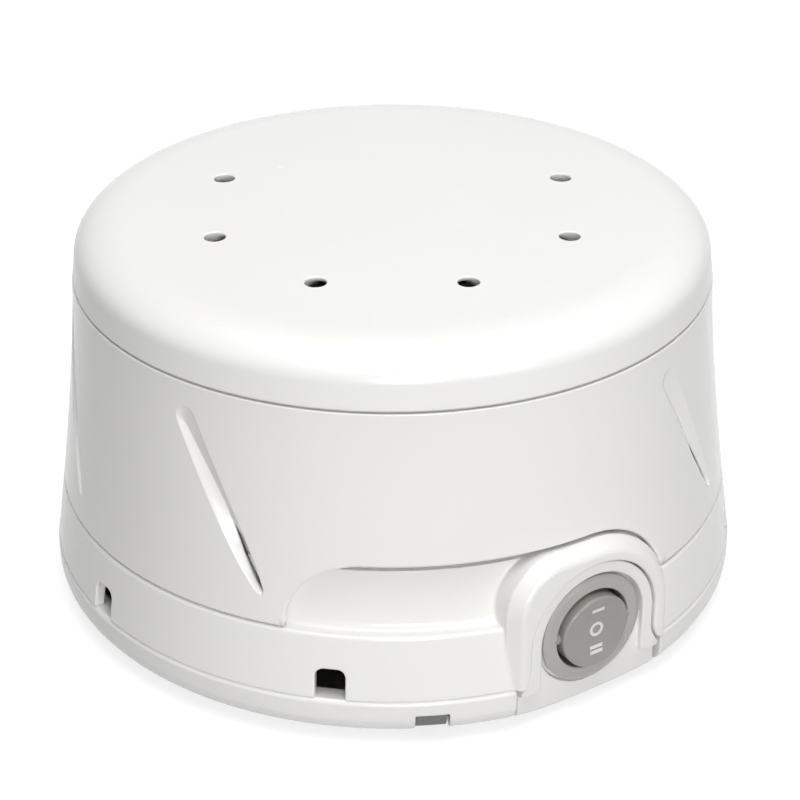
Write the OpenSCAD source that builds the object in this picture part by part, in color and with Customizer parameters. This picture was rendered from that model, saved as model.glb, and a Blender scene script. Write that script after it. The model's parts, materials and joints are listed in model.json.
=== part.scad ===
// Sound machine: a round desk-top machine whose fan blows air through a turning cap and a turning collar.
// The floor is z = 0 and the turning axis is the Z axis. Azimuth 0 faces -Y and grows towards +X.

/* [Body] */
// Radius of the rounded lip, the widest place of the body
body_r = 73.2; // [58:0.2:100]
// Height of the feet under the bottom plate
foot_h = 1.7; // [1:0.1:6]
// Height of the bottom plate, from its underside to its seam
plate_h = 8.2; // [7:0.1:14]
// Height of the fixed band above the bottom plate
band_h = 13.8; // [12:0.1:20]
// Height of the turning shell
shell_h = 46.3; // [38:0.1:70]
// Height of the turning cap
cap_h = 12.5; // [11:0.1:20]
// Thickness of the outer mouldings
wall = 2.2; // [1.6:0.1:3]
// Gap between pieces that turn past each other
turn_gap = 0.4; // [0.3:0.05:0.8]

/* [Bottom plate] */
// Radius that rounds the lip under
lip_round = 4.5; // [2:0.1:6]
// Step from the widest place of the lip in to the band
lip_step = 0.2; // [0:0.05:1]
// Thickness of the plate's floor
floor_t = 2.2; // [1.6:0.1:3]
// Width of the plain chamfer inside the lip
lip_chamfer = 2.6; // [1:0.1:3]

/* [Band and inner wall] */
// How much the band narrows from its bottom to its top
band_draft = 1.95; // [0:0.05:4]
// Height of the deck that carries the sound drum, above the ledge
deck_rise = 20.3; // [18:0.1:28]
// Thickness of the deck
deck_t = 2.2; // [1.6:0.1:4]
// Radius of the fan's air inlet in the deck
inlet_r = 30; // [22:0.5:36]
// Width of an air notch in the foot of the band
notch_w = 6; // [4:0.1:10]
// Height of an air notch
notch_h = 6.5; // [4:0.1:9]
// Corner radius of an air notch
notch_corner = 1.8; // [0.5:0.1:2]
// Azimuth of the first air notch, in degrees
notch_az = -9.7; // [-15:0.1:-5]

/* [Shell] */
// How much the shell narrows from its bottom to its top
shell_draft = 4.85; // [2:0.05:8]
// Exponent of the shell's hollow flare, 1 being a straight cone
shell_flare = 1.35; // [1:0.05:2]
// Height of the window over the ledge
window_h = 14.7; // [13:0.1:18]
// Corner radius at the window's free end
window_corner = 13; // [6:0.5:14]
// Azimuth of the window's free end, in degrees
window_az = -16.7; // [-20:0.1:-10]
// Radius of the round top end of a slanted groove
groove_r = 1.8; // [1:0.1:2.5]
// Depth of a slanted groove
groove_depth = 0.9; // [0.4:0.1:1.1]
// Half of the angle that a groove leans across, in degrees
groove_lean = 7.6; // [4:0.1:12]
// Azimuth of the middle of the first groove, in degrees
groove_az = -28.4; // [-35:0.1:-22]
// Height of a groove's pointed end above the ledge
groove_low = 6; // [4:0.1:12]
// Distance from the round end's centre down from the cap seam
groove_top_drop = 7.4; // [5:0.1:12]

/* [Cap] */
// Radius of the ring that the sound holes lie on
hole_ring_r = 38.4; // [30:0.1:45]
// Radius of a sound hole
hole_r = 2.15; // [1.5:0.05:3]
// Rise of the cap's crown above the start of its rounded edge
cap_dome = 0.9; // [0:0.1:4]
// Width of the cap's rounded edge
cap_edge_w = 11.5; // [6:0.1:16]
// Drop of the cap's rounded edge
cap_edge_h = 6.7; // [3:0.1:9]

/* [Sound drum] */
// Distance from the shell's top edge in to the drum's wall
drum_inset = 9.2; // [8:0.1:12]
// Thickness of the drum's wall
drum_wall = 1.8; // [1.2:0.1:3]
// Rise of the drum's top above the cap seam
drum_rise = 7.5; // [6.5:0.1:8]
// Width of a side port in the drum
port_w = 10; // [6:0.5:14]
// Height of a side port in the drum
port_h = 13; // [8:0.5:16]

/* [Switch pod] */
// Azimuth of the switch, in degrees
pod_az = 33.5; // [30:0.5:36]
// Height of the switch's centre above the bottom plate's seam
switch_rise = 8; // [7:0.1:9]
// Radius of the pod's arch at its root
pod_r = 19.6; // [18:0.1:20]
// How much the pod's arch narrows towards its front
pod_draft = 2; // [0:0.1:3]
// Radius of the arched face panel
panel_r = 14.9; // [13.5:0.1:15.5]
// How far the panel's feet flare out on each side
panel_flare = 2.1; // [0:0.1:2.5]
// Gap round the panel
panel_gap = 0.2; // [0.05:0.05:0.4]
// Depth of the panel's sunk field
field_depth = 1.4; // [0.5:0.1:2]

/* [Switch] */
// Radius of the switch's bezel
bezel_r = 11.6; // [11:0.05:12.5]
// Radius of the opening in the bezel
bezel_hole_r = 8.75; // [8.5:0.05:9.2]
// Radius of the rocker's round face
rocker_r = 7.9; // [7:0.1:8]
// Depth of the switch's barrel behind the panel
barrel_l = 18; // [14:0.5:20]
// Radius of the rocker's pivot pins
pivot_r = 1.2; // [0.8:0.1:1.5]
// Running clearance round a pivot pin or the shaft
run_gap = 0.04; // [0.02:0.01:0.09]

/* [Fan] */
// Radius of the fan wheel
fan_r = 38; // [32:0.5:40]
// Height of the fan's blades
blade_h = 13; // [9:0.5:15]
// Number of blades
blade_count = 11; // [7:2:15]
// Thickness of a blade
blade_t = 1.4; // [1:0.1:2]

/* [Motor] */
// Radius of the motor's shaft
shaft_r = 2; // [1.5:0.1:2.5]
// Radius of the rotor
rotor_r = 13; // [11:0.1:14]
// Air gap between rotor and stator
air_gap = 0.35; // [0.3:0.01:0.6]
// Thickness of the laminated stator
stack_h = 14; // [12:0.5:16]
// Half width of the stator across the rotor
stack_half_w = 25; // [24:0.5:27]
// Height of the stator's underside above the plate's floor
stack_rise = 14.1; // [14:0.1:15]
// Thickness of a bracket's sheet
bracket_t = 2; // [1.5:0.1:2.5]
// Gap between a bracket's sheet and the stator
bracket_clear = 4; // [3.5:0.1:5]
// Length of a sleeve bearing
bearing_h = 6.5; // [5:0.1:7]
// Distance from the shaft to a rubber mount
mount_x = 32; // [32:0.5:35]

/* [Feet and fasteners] */
// Radius of a foot's pad
foot_r = 5.5; // [4:0.1:7]
// Distance of the feet in from the lip
foot_inset = 13.2; // [12:0.1:15]
// Azimuth of the first foot, in degrees
foot_az = 5.9; // [4:0.1:8]
// Width of a foot's tongue, which shows in a slot in the lip
tongue_w = 6; // [4:0.1:8]
// Radius of a screw's shank
screw_r = 1.45; // [1.2:0.05:1.6]
// Radius of a screw's head
screw_head_r = 2.9; // [2.5:0.1:3.2]
// Clearance round a screw
screw_gap = 0.05; // [0.02:0.01:0.2]
// Height of a screw's head
head_h = 2; // [1.5:0.1:2.2]

/* [Cord gland] */
// Radius of the bore that the cord passes
gland_bore_r = 3.3; // [2.5:0.1:4]
// Radius of the gland's barrel
gland_r = 4.9; // [4.5:0.1:5.2]
// Radius of the gland's flange
gland_flange_r = 6.4; // [6:0.1:6.5]
// Height of the gland's centre above the bottom plate's seam
gland_rise = 6.9; // [6.8:0.05:7]

/* [Leads] */
// Radius of an inner lead over its insulation
lead_r = 0.9; // [0.6:0.1:1.2]

/* [Hidden] */
$fn = 96;

// A cut runs this far past the face that it opens, and this far where it opens a whole side
over = 1;
reach = 20;

// Small broken edges, seams and gaps
edge_break = 0.3;
seam_half = 0.2;
slip_gap = 0.3;
head_gap = 0.2;
arc_steps = 12;

// Levels, from the floor up
z_plate = foot_h;
z_seam = z_plate + plate_h;
z_ledge = z_seam + band_h;
z_cap = z_ledge + shell_h;
z_top = z_cap + cap_h;
z_floor = z_plate + floor_t;
z_deck = z_ledge + deck_rise;
z_switch = z_seam + switch_rise;
z_gland = z_seam + gland_rise;
z_drum = z_cap + drum_rise;
z_stack = z_floor + stack_rise;
z_stack_top = z_stack + stack_h;
low_bracket_z = z_stack - bracket_clear - bracket_t;
high_bracket_z = z_stack_top + bracket_clear;

// Radii of the body's outside
band_r = body_r - lip_step;
shell_low_r = band_r - band_draft;
shell_top_r = shell_low_r - shell_draft;
recess = wall + turn_gap;
profile_steps = 10;

// Radius of the shell's outside at a height
function shell_r(z) =
  shell_top_r + shell_draft * pow(max(0, (z_cap - z) / shell_h), shell_flare);

// Outline points (radius, height) of the flared wall between two heights, moved in by an inset
function flare_points(z_from, z_to, inset) = [
  for (i = [0 : profile_steps])
    let (z = z_from + (z_to - z_from) * i / profile_steps)
      [shell_r(z) - inset, z]
];

// Points of an arc about a centre, by angle
function arc_points(c, r, a_from, a_to) = [
  for (i = [0 : arc_steps])
    let (a = a_from + (a_to - a_from) * i / arc_steps)
      [c[0] + r * cos(a), c[1] + r * sin(a)]
];

// Places a shape that faces -Y at an azimuth
module at_az(a) {
  rotate([0, 0, a]) children();
}

// Local x runs sideways, local y up and local z straight out of the body at an azimuth
module facing(a) {
  rotate([0, 0, a]) rotate([90, 0, 0]) children();
}

// Ring about the Z axis
module ring(r_out, r_in, z_from, z_to) {
  translate([0, 0, z_from]) difference() {
    cylinder(r = r_out, h = z_to - z_from);
    translate([0, 0, -over]) cylinder(r = r_in, h = z_to - z_from + 2 * over);
  }
}

// ---- Bottom plate ----

lip_extra = 0.6;
lip_crown = 0.9;
lip_inner_r = body_r - wall - lip_extra;
lip_foot_r = body_r - lip_round;

// Outside of the plate, from its underside round the lip up to the seam
function lip_points(inset) = concat(
  arc_points([lip_foot_r, z_plate + lip_round], lip_round - inset, -90, 0),
  [[body_r - inset, z_seam - lip_crown], [body_r - edge_break - inset, z_seam]]
);

module plate_blank() {
  rotate_extrude() polygon(concat(
    [[0, z_plate]],
    lip_points(0),
    [[lip_inner_r, z_seam], [lip_inner_r, z_floor + lip_chamfer], [lip_inner_r - lip_chamfer, z_floor]],
    [[0, z_floor]]
  ));
}

// Levels straight out of the body along the switch's axis; the panel's foot stands in a break in the lip
panel_sink = 1.6;
panel_t = 1.8;
foot_extra = 1.6;
break_gap = 0.9;
panel_front_n = band_r - panel_sink;
panel_back_n = panel_front_n - field_depth - panel_t;
foot_back_n = panel_back_n - foot_extra;
lip_break_half = panel_r + panel_flare + break_gap;

foot_ring_r = body_r - foot_inset;
foot_count = 4;
tongue_h = 4.8;
tongue_gap = 0.15;
slot_extra = 0.7;
tongue_sink = 0.5;

// Screws that hold the plate to the housing stand at their own azimuths, clear of the feet
plate_screw_count = 4;
plate_screw_inset = 13.2;
plate_screw_turn = 22.5;
plate_screw_r = body_r - plate_screw_inset;
plate_screw_az = pod_az + plate_screw_turn;
plate_screw_l = 12;
pad_r = 5;
pad_h = 3;

// Posts that carry the motor's rubber mounts
post_r = 5;
grommet_lip_t = 1.8;
post_top = low_bracket_z - grommet_lip_t;

module bottom_plate() color("white") {
  difference() {
    union() {
      plate_blank();
      for (k = [0 : plate_screw_count - 1])
        at_az(plate_screw_az + 360 * k / plate_screw_count)
          translate([0, -plate_screw_r, z_plate]) cylinder(r = pad_r, h = floor_t + pad_h);
      for (side = [-1, 1])
        at_az(pod_az) translate([side * mount_x, 0, z_plate]) cylinder(r = post_r, h = post_top - z_plate);
    }
    facing(pod_az) translate([-lip_break_half, -over, foot_back_n - panel_gap])
      cube([2 * lip_break_half, z_seam + 2 * over, reach]);
    for (k = [0 : foot_count - 1])
      facing(foot_az + 360 * k / foot_count)
        translate([-tongue_w / 2 - tongue_gap, -over, foot_ring_r - foot_r / 2 - tongue_gap])
          cube([tongue_w + slot_extra, z_plate + tongue_h + tongue_gap + over, foot_inset + foot_r]);
    for (k = [0 : plate_screw_count - 1])
      at_az(plate_screw_az + 360 * k / plate_screw_count) translate([0, -plate_screw_r, 0]) {
        cylinder(r = screw_r + screw_gap, h = z_seam);
        cylinder(r = screw_head_r + head_gap, h = z_plate + head_h + head_gap);
      }
    for (side = [-1, 1])
      at_az(pod_az) translate([side * mount_x, 0, z_floor]) cylinder(r = screw_r + screw_gap, h = plate_h);
  }
}

// ---- Rubber feet ----

module rubber_feet() color("dimgray") {
  for (k = [0 : foot_count - 1]) {
    at_az(foot_az + 360 * k / foot_count)
      translate([0, -foot_ring_r, 0]) cylinder(r = foot_r, h = foot_h);
    intersection() {
      facing(foot_az + 360 * k / foot_count)
        translate([-tongue_w / 2, z_plate, foot_ring_r - foot_r / 2])
          cube([tongue_w, tongue_h, foot_inset + foot_r]);
      rotate_extrude() polygon(concat(
        [[0, z_plate - over], [lip_foot_r, z_plate - over]], lip_points(tongue_sink), [[0, z_seam]]
      ));
    }
  }
}

// ---- Base housing: band, ledge, inner wall, deck and switch pod ----

deck_low = z_deck - deck_t;
cut_half = 9;
notch_pitch = 45;
notch_last = 7;
notch_at_switch = 1;
notch_at_gland = 5;
boss_r = 4;
drum_boss_r = 3.2;
drum_boss_h = 8;
drum_screw_count = 3;
drum_r = shell_top_r - drum_inset;
drum_flange_w = 6;
drum_flange_t = 2;
drum_screw_r = drum_r + drum_flange_w / 2;
drum_screw_az = pod_az + 90;
drum_screw_l = 9;

// The pod's rim stands a little proud of the panel, which rests on a shoulder
rim_proud = 0.7;
rim_l = 3;
pod_l = 9;
shoulder_w = 1.9;
pod_lift = 0.15;
pod_front_n = panel_front_n + rim_proud;
pod_root_n = pod_front_n - rim_l;
pod_back_n = pod_front_n - pod_l;

module housing_blank() {
  rotate_extrude() polygon(concat(
    [[band_r - edge_break, z_seam], [band_r, z_seam + edge_break], [shell_low_r, z_ledge]],
    flare_points(z_ledge, z_deck, recess),
    [[inlet_r, z_deck], [inlet_r, deck_low]],
    flare_points(deck_low, z_ledge - wall, recess + wall),
    [[shell_low_r - wall, z_ledge - wall], [band_r - wall, z_seam]]
  ));
}

// Arch outline: a round top on straight legs
module arch(r, z_from) {
  translate([0, z_switch]) circle(r = r);
  translate([-r, z_from]) square([2 * r, z_switch - z_from]);
}

// The pod's solid, which narrows towards its front
module pod_blank() {
  front_r = pod_r - pod_draft;
  facing(pod_az) translate([0, z_switch, 0]) rotate_extrude(angle = 180) polygon([
    [0, pod_back_n], [pod_r, pod_back_n], [pod_r, pod_root_n], [front_r, pod_front_n], [0, pod_front_n]
  ]);
  at_az(pod_az) translate([0, 0, z_seam + pod_lift]) linear_extrude(height = switch_rise - pod_lift) polygon([
    [-pod_r, -pod_back_n], [-pod_r, -pod_root_n], [-front_r, -pod_front_n],
    [front_r, -pod_front_n], [pod_r, -pod_root_n], [pod_r, -pod_back_n]
  ]);
}

// The panel's feet flare out between these two levels
flare_low = z_seam - 1.4;
flare_top = z_seam + 2.4;

// Outline of the face panel, grown by a gap
module panel_outline(gap, z_from) {
  half = panel_r + gap;
  arch(half, z_from);
  polygon([
    [-half - panel_flare, z_from], [-half - panel_flare, flare_low], [-half, flare_top],
    [half, flare_top], [half + panel_flare, flare_low], [half + panel_flare, z_from]
  ]);
}

module air_notch() {
  mid = notch_w / 2 - notch_corner;
  translate([0, 0, band_r - cut_half]) linear_extrude(height = 2 * cut_half) {
    for (side = [-1, 1])
      translate([side * mid, z_seam + notch_h - notch_corner]) circle(r = notch_corner);
    translate([-mid, z_seam - over]) square([2 * mid, notch_h + over]);
    translate([-notch_w / 2, z_seam - over]) square([notch_w, notch_h - notch_corner + over]);
  }
}

gland_sink = 1.1;
gland_flat_n = band_r - band_draft * gland_rise / band_h - gland_sink;
gland_flange_t = 1.5;
// The pad reaches in past the flared wall, so that the nut clears it
nut_gap = 0.325;
gland_pad_t = gland_flat_n - (shell_low_r - recess - wall) + nut_gap;

module base_housing() color("whitesmoke") {
  difference() {
    union() {
      housing_blank();
      pod_blank();
      for (k = [0 : plate_screw_count - 1])
        at_az(plate_screw_az + 360 * k / plate_screw_count) translate([0, -plate_screw_r, z_floor + pad_h])
          cylinder(r = boss_r, h = deck_low - z_floor - pad_h + wall / 2);
      for (k = [0 : drum_screw_count - 1])
        at_az(drum_screw_az + 360 * k / drum_screw_count)
          translate([0, -drum_screw_r, deck_low - drum_boss_h])
            cylinder(r = drum_boss_r, h = drum_boss_h + over);
      facing(pod_az + 180) translate([0, z_gland, gland_flat_n - gland_pad_t])
        cylinder(r = gland_flange_r, h = gland_pad_t);
    }
    // room for the panel, its supporting shoulder and the switch behind it
    facing(pod_az) {
      translate([0, 0, panel_back_n]) linear_extrude(height = reach) panel_outline(panel_gap, z_seam - over);
      translate([0, 0, pod_back_n]) linear_extrude(height = reach) arch(panel_r - shoulder_w, z_seam - over);
      translate([0, 0, panel_back_n - shoulder_w - reach]) linear_extrude(height = reach)
        arch(pod_r - wall, z_seam - over);
    }
    for (k = [0 : notch_last])
      if (k != notch_at_switch && k != notch_at_gland) facing(notch_az + notch_pitch * k) air_notch();
    for (k = [0 : plate_screw_count - 1])
      at_az(plate_screw_az + 360 * k / plate_screw_count)
        translate([0, -plate_screw_r, z_floor])
          cylinder(r = screw_r + screw_gap, h = plate_screw_l + over);
    for (k = [0 : drum_screw_count - 1])
      at_az(drum_screw_az + 360 * k / drum_screw_count)
        translate([0, -drum_screw_r, z_deck - drum_screw_l])
          cylinder(r = screw_r + screw_gap, h = drum_screw_l + over);
    facing(pod_az + 180) translate([0, z_gland, 0]) {
      translate([0, 0, gland_flat_n]) cylinder(r = gland_flange_r + slip_gap, h = reach);
      translate([0, 0, gland_flat_n - gland_pad_t - over]) cylinder(r = gland_r + screw_gap, h = reach);
    }
  }
}

// ---- Outer shell ----

shell_low_z = z_ledge + slip_gap;
shell_high_z = z_cap - seam_half;
shell_flange_t = 2;
shell_hub_gap = 2;
shell_hub_r = drum_r + shell_hub_gap;
groove_pitch = 45;
groove_last = 7;
groove_at_switch = 1;
groove_tip_z = z_ledge + groove_low;
groove_top_z = z_cap - groove_top_drop;

// The lower part of a groove is slit through, between two shares of its length
slit_from = 0.62;
slit_to = 0.96;
slit_w = 1.1;

// A groove is cut square to the plane that lies along the shell's slope at the groove's middle
groove_mid_z = (groove_top_z + groove_tip_z) / 2;
groove_slope = atan((shell_r(groove_tip_z) - shell_r(groove_top_z)) / (groove_top_z - groove_tip_z));
groove_plane_n = (shell_r(groove_tip_z) + shell_r(groove_top_z)) / 2 * cos(groove_lean);

// Half of a groove's sideways run, at its top and at its tip, and its whole run
groove_top_u = shell_r(groove_top_z) * sin(groove_lean);
groove_tip_u = shell_r(groove_tip_z) * sin(groove_lean);
groove_half_h = (groove_top_z - groove_tip_z) / 2 / cos(groove_slope);
groove_run = [groove_top_u + groove_tip_u, -2 * groove_half_h];
groove_len = norm(groove_run);

// A point of the groove's middle line, by its share of the length
function groove_at(s) = [-groove_top_u + groove_run[0] * s, groove_half_h + groove_run[1] * s];

// Sideways step of a width across the middle line
function groove_side(w) = [-groove_run[1] * w / groove_len, groove_run[0] * w / groove_len];

// Round at the top, then straight sides down to the point
module groove_outline() {
  lean = atan2(groove_run[1], groove_run[0]);
  polygon(concat(arc_points(groove_at(0), groove_r, lean + 90, lean + 270), [groove_at(1)]));
}

module slit_outline() {
  polygon([
    groove_at(slit_from) + groove_side(slit_w / 2), groove_at(slit_to),
    groove_at(slit_from) - groove_side(slit_w / 2)
  ]);
}

module groove_cut(a) {
  facing(a) translate([0, groove_mid_z, groove_plane_n]) rotate([-groove_slope, 0, 0]) {
    translate([0, 0, -groove_depth]) linear_extrude(height = cut_half) groove_outline();
    translate([0, 0, -cut_half]) linear_extrude(height = cut_half) slit_outline();
  }
}

// Opening round the switch pod: a rounded left end, a level stretch and a round right end over the switch
module window_cut() {
  window_z = z_ledge + window_h;
  centre_z = window_z - window_corner;
  corner_az = window_az + asin(window_corner / shell_low_r);
  facing(corner_az) translate([0, 0, shell_low_r - cut_half]) linear_extrude(height = 2 * cut_half) {
    translate([0, centre_z]) circle(r = window_corner);
    translate([-window_corner, 0]) square([window_corner, centre_z]);
  }
  rotate([0, 0, corner_az - 90]) rotate_extrude(angle = pod_az - corner_az)
    translate([shell_low_r - cut_half, 0]) square([2 * cut_half, window_z]);
  facing(pod_az) translate([0, z_switch, shell_low_r - cut_half])
    cylinder(r = window_z - z_switch, h = 2 * cut_half);
}

module outer_shell() color("white") {
  difference() {
    rotate_extrude() polygon(concat(
      flare_points(shell_low_z, shell_high_z, 0),
      [[shell_hub_r, shell_high_z], [shell_hub_r, shell_high_z - shell_flange_t]],
      flare_points(shell_high_z - shell_flange_t, shell_low_z, wall)
    ));
    window_cut();
    for (k = [0 : groove_last])
      if (k != groove_at_switch) groove_cut(groove_az + groove_pitch * k);
  }
}

// ---- Top cap ----

cap_low_z = z_cap + seam_half;
cap_foot_inset = 0.1;
cap_foot_r = shell_top_r - cap_foot_inset;
cap_side_draft = 0.55;
cap_side_r = cap_foot_r - cap_side_draft;
cap_flat_r = cap_side_r - cap_edge_w;
cap_edge_power = 2.25;
cap_edge_steps = 14;
cap_dome_steps = 4;

// A ring under the cap snaps over a bead round the drum's top edge
bead_w = 1.4;
bead_h = 1.4;
bead_drop = 1.5;
cap_snap_w = 0.7;
cap_snap_h = 1.8;
cap_snap_gap = 0.6;
cap_ring_r = drum_r + bead_w + turn_gap;
cap_ring_t = 2;
cap_snap_low = z_drum - bead_drop - bead_h - cap_snap_gap - cap_snap_h;

// The cap rubs on a felt ring, which holds it where it's turned
felt_inset = 4;
felt_w = 5;
felt_t = 0.8;
felt_out_r = drum_r - felt_inset;
felt_in_r = felt_out_r - felt_w;
rub_inset = 1;
rub_z = z_drum + felt_t + slip_gap;

// Height of the cap's outside at a radius, for a shell moved in by an inset
function cap_z(r, inset) =
  z_top - inset - cap_dome * pow(r / cap_flat_r, 2)
  - cap_edge_h * (1 - pow(max(0, 1 - pow(max(0, r - cap_flat_r) / (cap_edge_w - inset), cap_edge_power)),
    1 / cap_edge_power));

// Outline of the cap's dome and rounded edge, from the axis out, closer together at the edge
function cap_points(inset) = concat(
  [for (i = [0 : cap_dome_steps - 1])
    let (r = cap_flat_r * i / cap_dome_steps) [r, cap_z(r, inset)]],
  [for (i = [0 : cap_edge_steps])
    let (r = cap_flat_r + (cap_edge_w - inset) * sin(90 * i / cap_edge_steps)) [r, cap_z(r, inset)]]
);

// The sound holes lie on eight even places, of which the two at the back stay closed
hole_pitch = 45;
hole_count = 6;
hole_first_az = -hole_pitch * (hole_count - 1) / 2;

module sound_holes(r) {
  for (k = [0 : hole_count - 1])
    at_az(hole_first_az + hole_pitch * k)
      translate([0, -hole_ring_r, z_cap]) cylinder(r = r, h = cap_h + over);
}

module top_cap() color("white") {
  inner = cap_points(wall);
  difference() {
    union() {
      rotate_extrude() polygon(concat(
        cap_points(0),
        [[cap_foot_r, cap_low_z], [cap_foot_r - wall, cap_low_z]],
        [for (i = [len(inner) - 1 : -1 : 0]) inner[i]]
      ));
      ring(cap_ring_r + cap_ring_t, cap_ring_r, cap_snap_low, cap_z(cap_ring_r, wall) + edge_break);
      ring(cap_ring_r + cap_ring_t / 2, drum_r + cap_snap_w, cap_snap_low, cap_snap_low + cap_snap_h);
      ring(felt_out_r - rub_inset, felt_in_r + rub_inset, rub_z, z_top - wall - edge_break);
    }
    sound_holes(hole_r);
  }
}

// ---- Sound drum ----

drum_top_t = 2;
port_count = 8;
port_rise = 6;
guide_t = 1.8;
guide_w = 5;
guide_z = shell_high_z - shell_flange_t - turn_gap;
flange_z = z_deck + drum_flange_t;
hole_extra = 0.5;

module sound_drum() color("gainsboro") {
  difference() {
    rotate_extrude() polygon([
      [drum_r - drum_wall, z_deck], [drum_r + drum_flange_w, z_deck], [drum_r + drum_flange_w, flange_z],
      [drum_r, flange_z], [drum_r, guide_z - guide_t], [drum_r + guide_w, guide_z - guide_t],
      [drum_r + guide_w, guide_z], [drum_r, guide_z], [drum_r, z_drum - bead_drop - bead_h],
      [drum_r + bead_w, z_drum - bead_drop - bead_h], [drum_r + bead_w, z_drum - bead_drop], [drum_r, z_drum],
      [0, z_drum], [0, z_drum - drum_top_t], [drum_r - drum_wall, z_drum - drum_top_t]
    ]);
    for (k = [0 : port_count - 1])
      at_az(notch_az + 360 * k / port_count) translate([-port_w / 2, -drum_r - over, z_deck + port_rise])
        cube([port_w, drum_wall + 2 * over, port_h]);
    for (k = [0 : drum_screw_count - 1])
      at_az(drum_screw_az + 360 * k / drum_screw_count)
        translate([0, -drum_screw_r, z_deck - over])
          cylinder(r = screw_r + head_gap, h = drum_flange_t + 2 * over);
    sound_holes(hole_r + hole_extra);
  }
}

module felt_ring() color("darkgray") {
  ring(felt_out_r, felt_in_r, z_drum, z_drum + felt_t);
}

// ---- Switch panel and switch ----

panel_rim_w = 1.9;
field_n = panel_front_n - field_depth;
field_r = panel_r - panel_rim_w;
barrel_r = 10.2;
barrel_gap = 0.1;
seam_drop = 0.3;
field_drop = 2.4;

// Everything that the panel's foot may fill: the lip's own shape under the seam
module panel_envelope() {
  rotate_extrude() polygon(concat(
    [[0, z_plate]], lip_points(0),
    [[body_r + over, z_seam], [body_r + over, z_deck], [0, z_deck]]
  ));
}

module switch_panel() color("white") {
  difference() {
    intersection() {
      facing(pod_az) {
        translate([0, 0, panel_back_n]) linear_extrude(height = panel_front_n - panel_back_n)
          panel_outline(0, 0);
        translate([-panel_r - panel_flare, 0, foot_back_n])
          cube([2 * (panel_r + panel_flare), z_seam - seam_drop, panel_front_n - foot_back_n]);
      }
      panel_envelope();
    }
    facing(pod_az) {
      translate([0, 0, field_n]) linear_extrude(height = reach) {
        arch(field_r, 0);
        translate([-lip_break_half, 0]) square([2 * lip_break_half, z_seam - field_drop]);
      }
      translate([0, z_switch, 0]) cylinder(r = barrel_r + barrel_gap, h = body_r);
    }
  }
}

pivot_n = field_n;
bezel_rise = 1.2;
bezel_edge_h = 0.5;
rocker_proud = 2.8;
rocker_deep = 3;
rocker_edge = 0.5;
// The rocker's face is hollowed a little, about an axis that runs sideways
dish_deep = 0.6;
dish_half = 6.8;
dish_r = (dish_half * dish_half + dish_deep * dish_deep) / (2 * dish_deep);
cavity_l = 6.5;
cavity_n = pivot_n - cavity_l;

// The pivot pins run in blind holes in the barrel's wall
pin_cover = 0.4;
pin_half_l = barrel_r - pin_cover - slip_gap;

module switch_body() color("darkgray") {
  facing(pod_az) translate([0, z_switch, 0]) difference() {
    rotate_extrude() polygon([
      [0, field_n - barrel_l], [barrel_r, field_n - barrel_l], [barrel_r, field_n], [bezel_r, field_n],
      [bezel_r, field_n + bezel_edge_h], [bezel_r - edge_break, field_n + bezel_edge_h + edge_break],
      [bezel_hole_r + edge_break, field_n + bezel_rise], [bezel_hole_r, field_n + bezel_rise - edge_break],
      [bezel_hole_r, cavity_n], [0, cavity_n]
    ]);
    translate([-barrel_r + pin_cover, 0, pivot_n]) rotate([0, 90, 0])
      cylinder(r = pivot_r + run_gap, h = 2 * (barrel_r - pin_cover));
  }
}

// A round bar that hollows the face
module dish_bar(r) {
  translate([-rocker_r - over, 0, rocker_proud - dish_deep + dish_r]) rotate([0, 90, 0])
    cylinder(r = r, h = 2 * (rocker_r + over));
}

module switch_rocker() color("gray") {
  facing(pod_az) translate([0, z_switch, pivot_n]) {
    difference() {
      rotate_extrude() polygon([
        [0, -rocker_deep], [rocker_r, -rocker_deep], [rocker_r, rocker_proud - rocker_edge],
        [rocker_r - rocker_edge, rocker_proud], [0, rocker_proud]
      ]);
      dish_bar(dish_r);
    }
    translate([-pin_half_l, 0, 0]) rotate([0, 90, 0]) cylinder(r = pivot_r, h = 2 * pin_half_l);
  }
}

mark_t = 0.12;
mark_bar_l = 3;
mark_bar_w = 0.7;
mark_reach = 4.6;
mark_pitch = 1.15;
mark_ring_r = 1.6;
mark_line_w = 0.6;
mark_lift = 0.5;

module mark_bar(y) {
  translate([-mark_bar_l / 2, y - mark_bar_w / 2]) square([mark_bar_l, mark_bar_w]);
}

// Thin printed marks that follow the hollow face
module switch_marks() color("white") {
  facing(pod_az) translate([0, z_switch, pivot_n]) intersection() {
    translate([0, mark_lift, rocker_proud - dish_deep - over]) linear_extrude(height = over + dish_deep) {
      mark_bar(mark_reach);
      mark_bar(-mark_reach + mark_pitch / 2);
      mark_bar(-mark_reach - mark_pitch / 2);
      difference() {
        circle(r = mark_ring_r);
        circle(r = mark_ring_r - mark_line_w);
      }
    }
    difference() {
      dish_bar(dish_r);
      dish_bar(dish_r - mark_t);
    }
  }
}

blade_pitch = 6;
terminal_l = 7;
terminal_w = 4.8;
terminal_t = 0.8;

module switch_terminals() color("goldenrod") {
  facing(pod_az) translate([-terminal_t / 2, z_switch - terminal_w / 2, field_n - barrel_l - terminal_l])
    for (k = [-1 : 1])
      translate([k * blade_pitch, 0, 0]) cube([terminal_t, terminal_w, terminal_l]);
}

// ---- Motor, from the bottom up ----

rotor_over = 1;
washer_t = 0.6;
washer_w = 2.1;
washer_gap = 0.1;
bearing_r = 5;
hub_wall = 2.4;
bracket_w = 14;
leg_w = 8;
tie_x = 20.5;
tie_gap = 0.15;
low_bearing_z = z_stack - rotor_over - washer_t - 2 * washer_gap - bearing_h;
high_bearing_z = z_stack_top + rotor_over + washer_t + 2 * washer_gap;
coil_leg_y = 26;
coil_leg_w = 9;
coil_half_l = 15;
coil_slot_w = 8;
coil_slot_gap = 2;
stack_front_y = -17;

module motor_frame() {
  rotate([0, 0, pod_az]) children();
}

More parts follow.
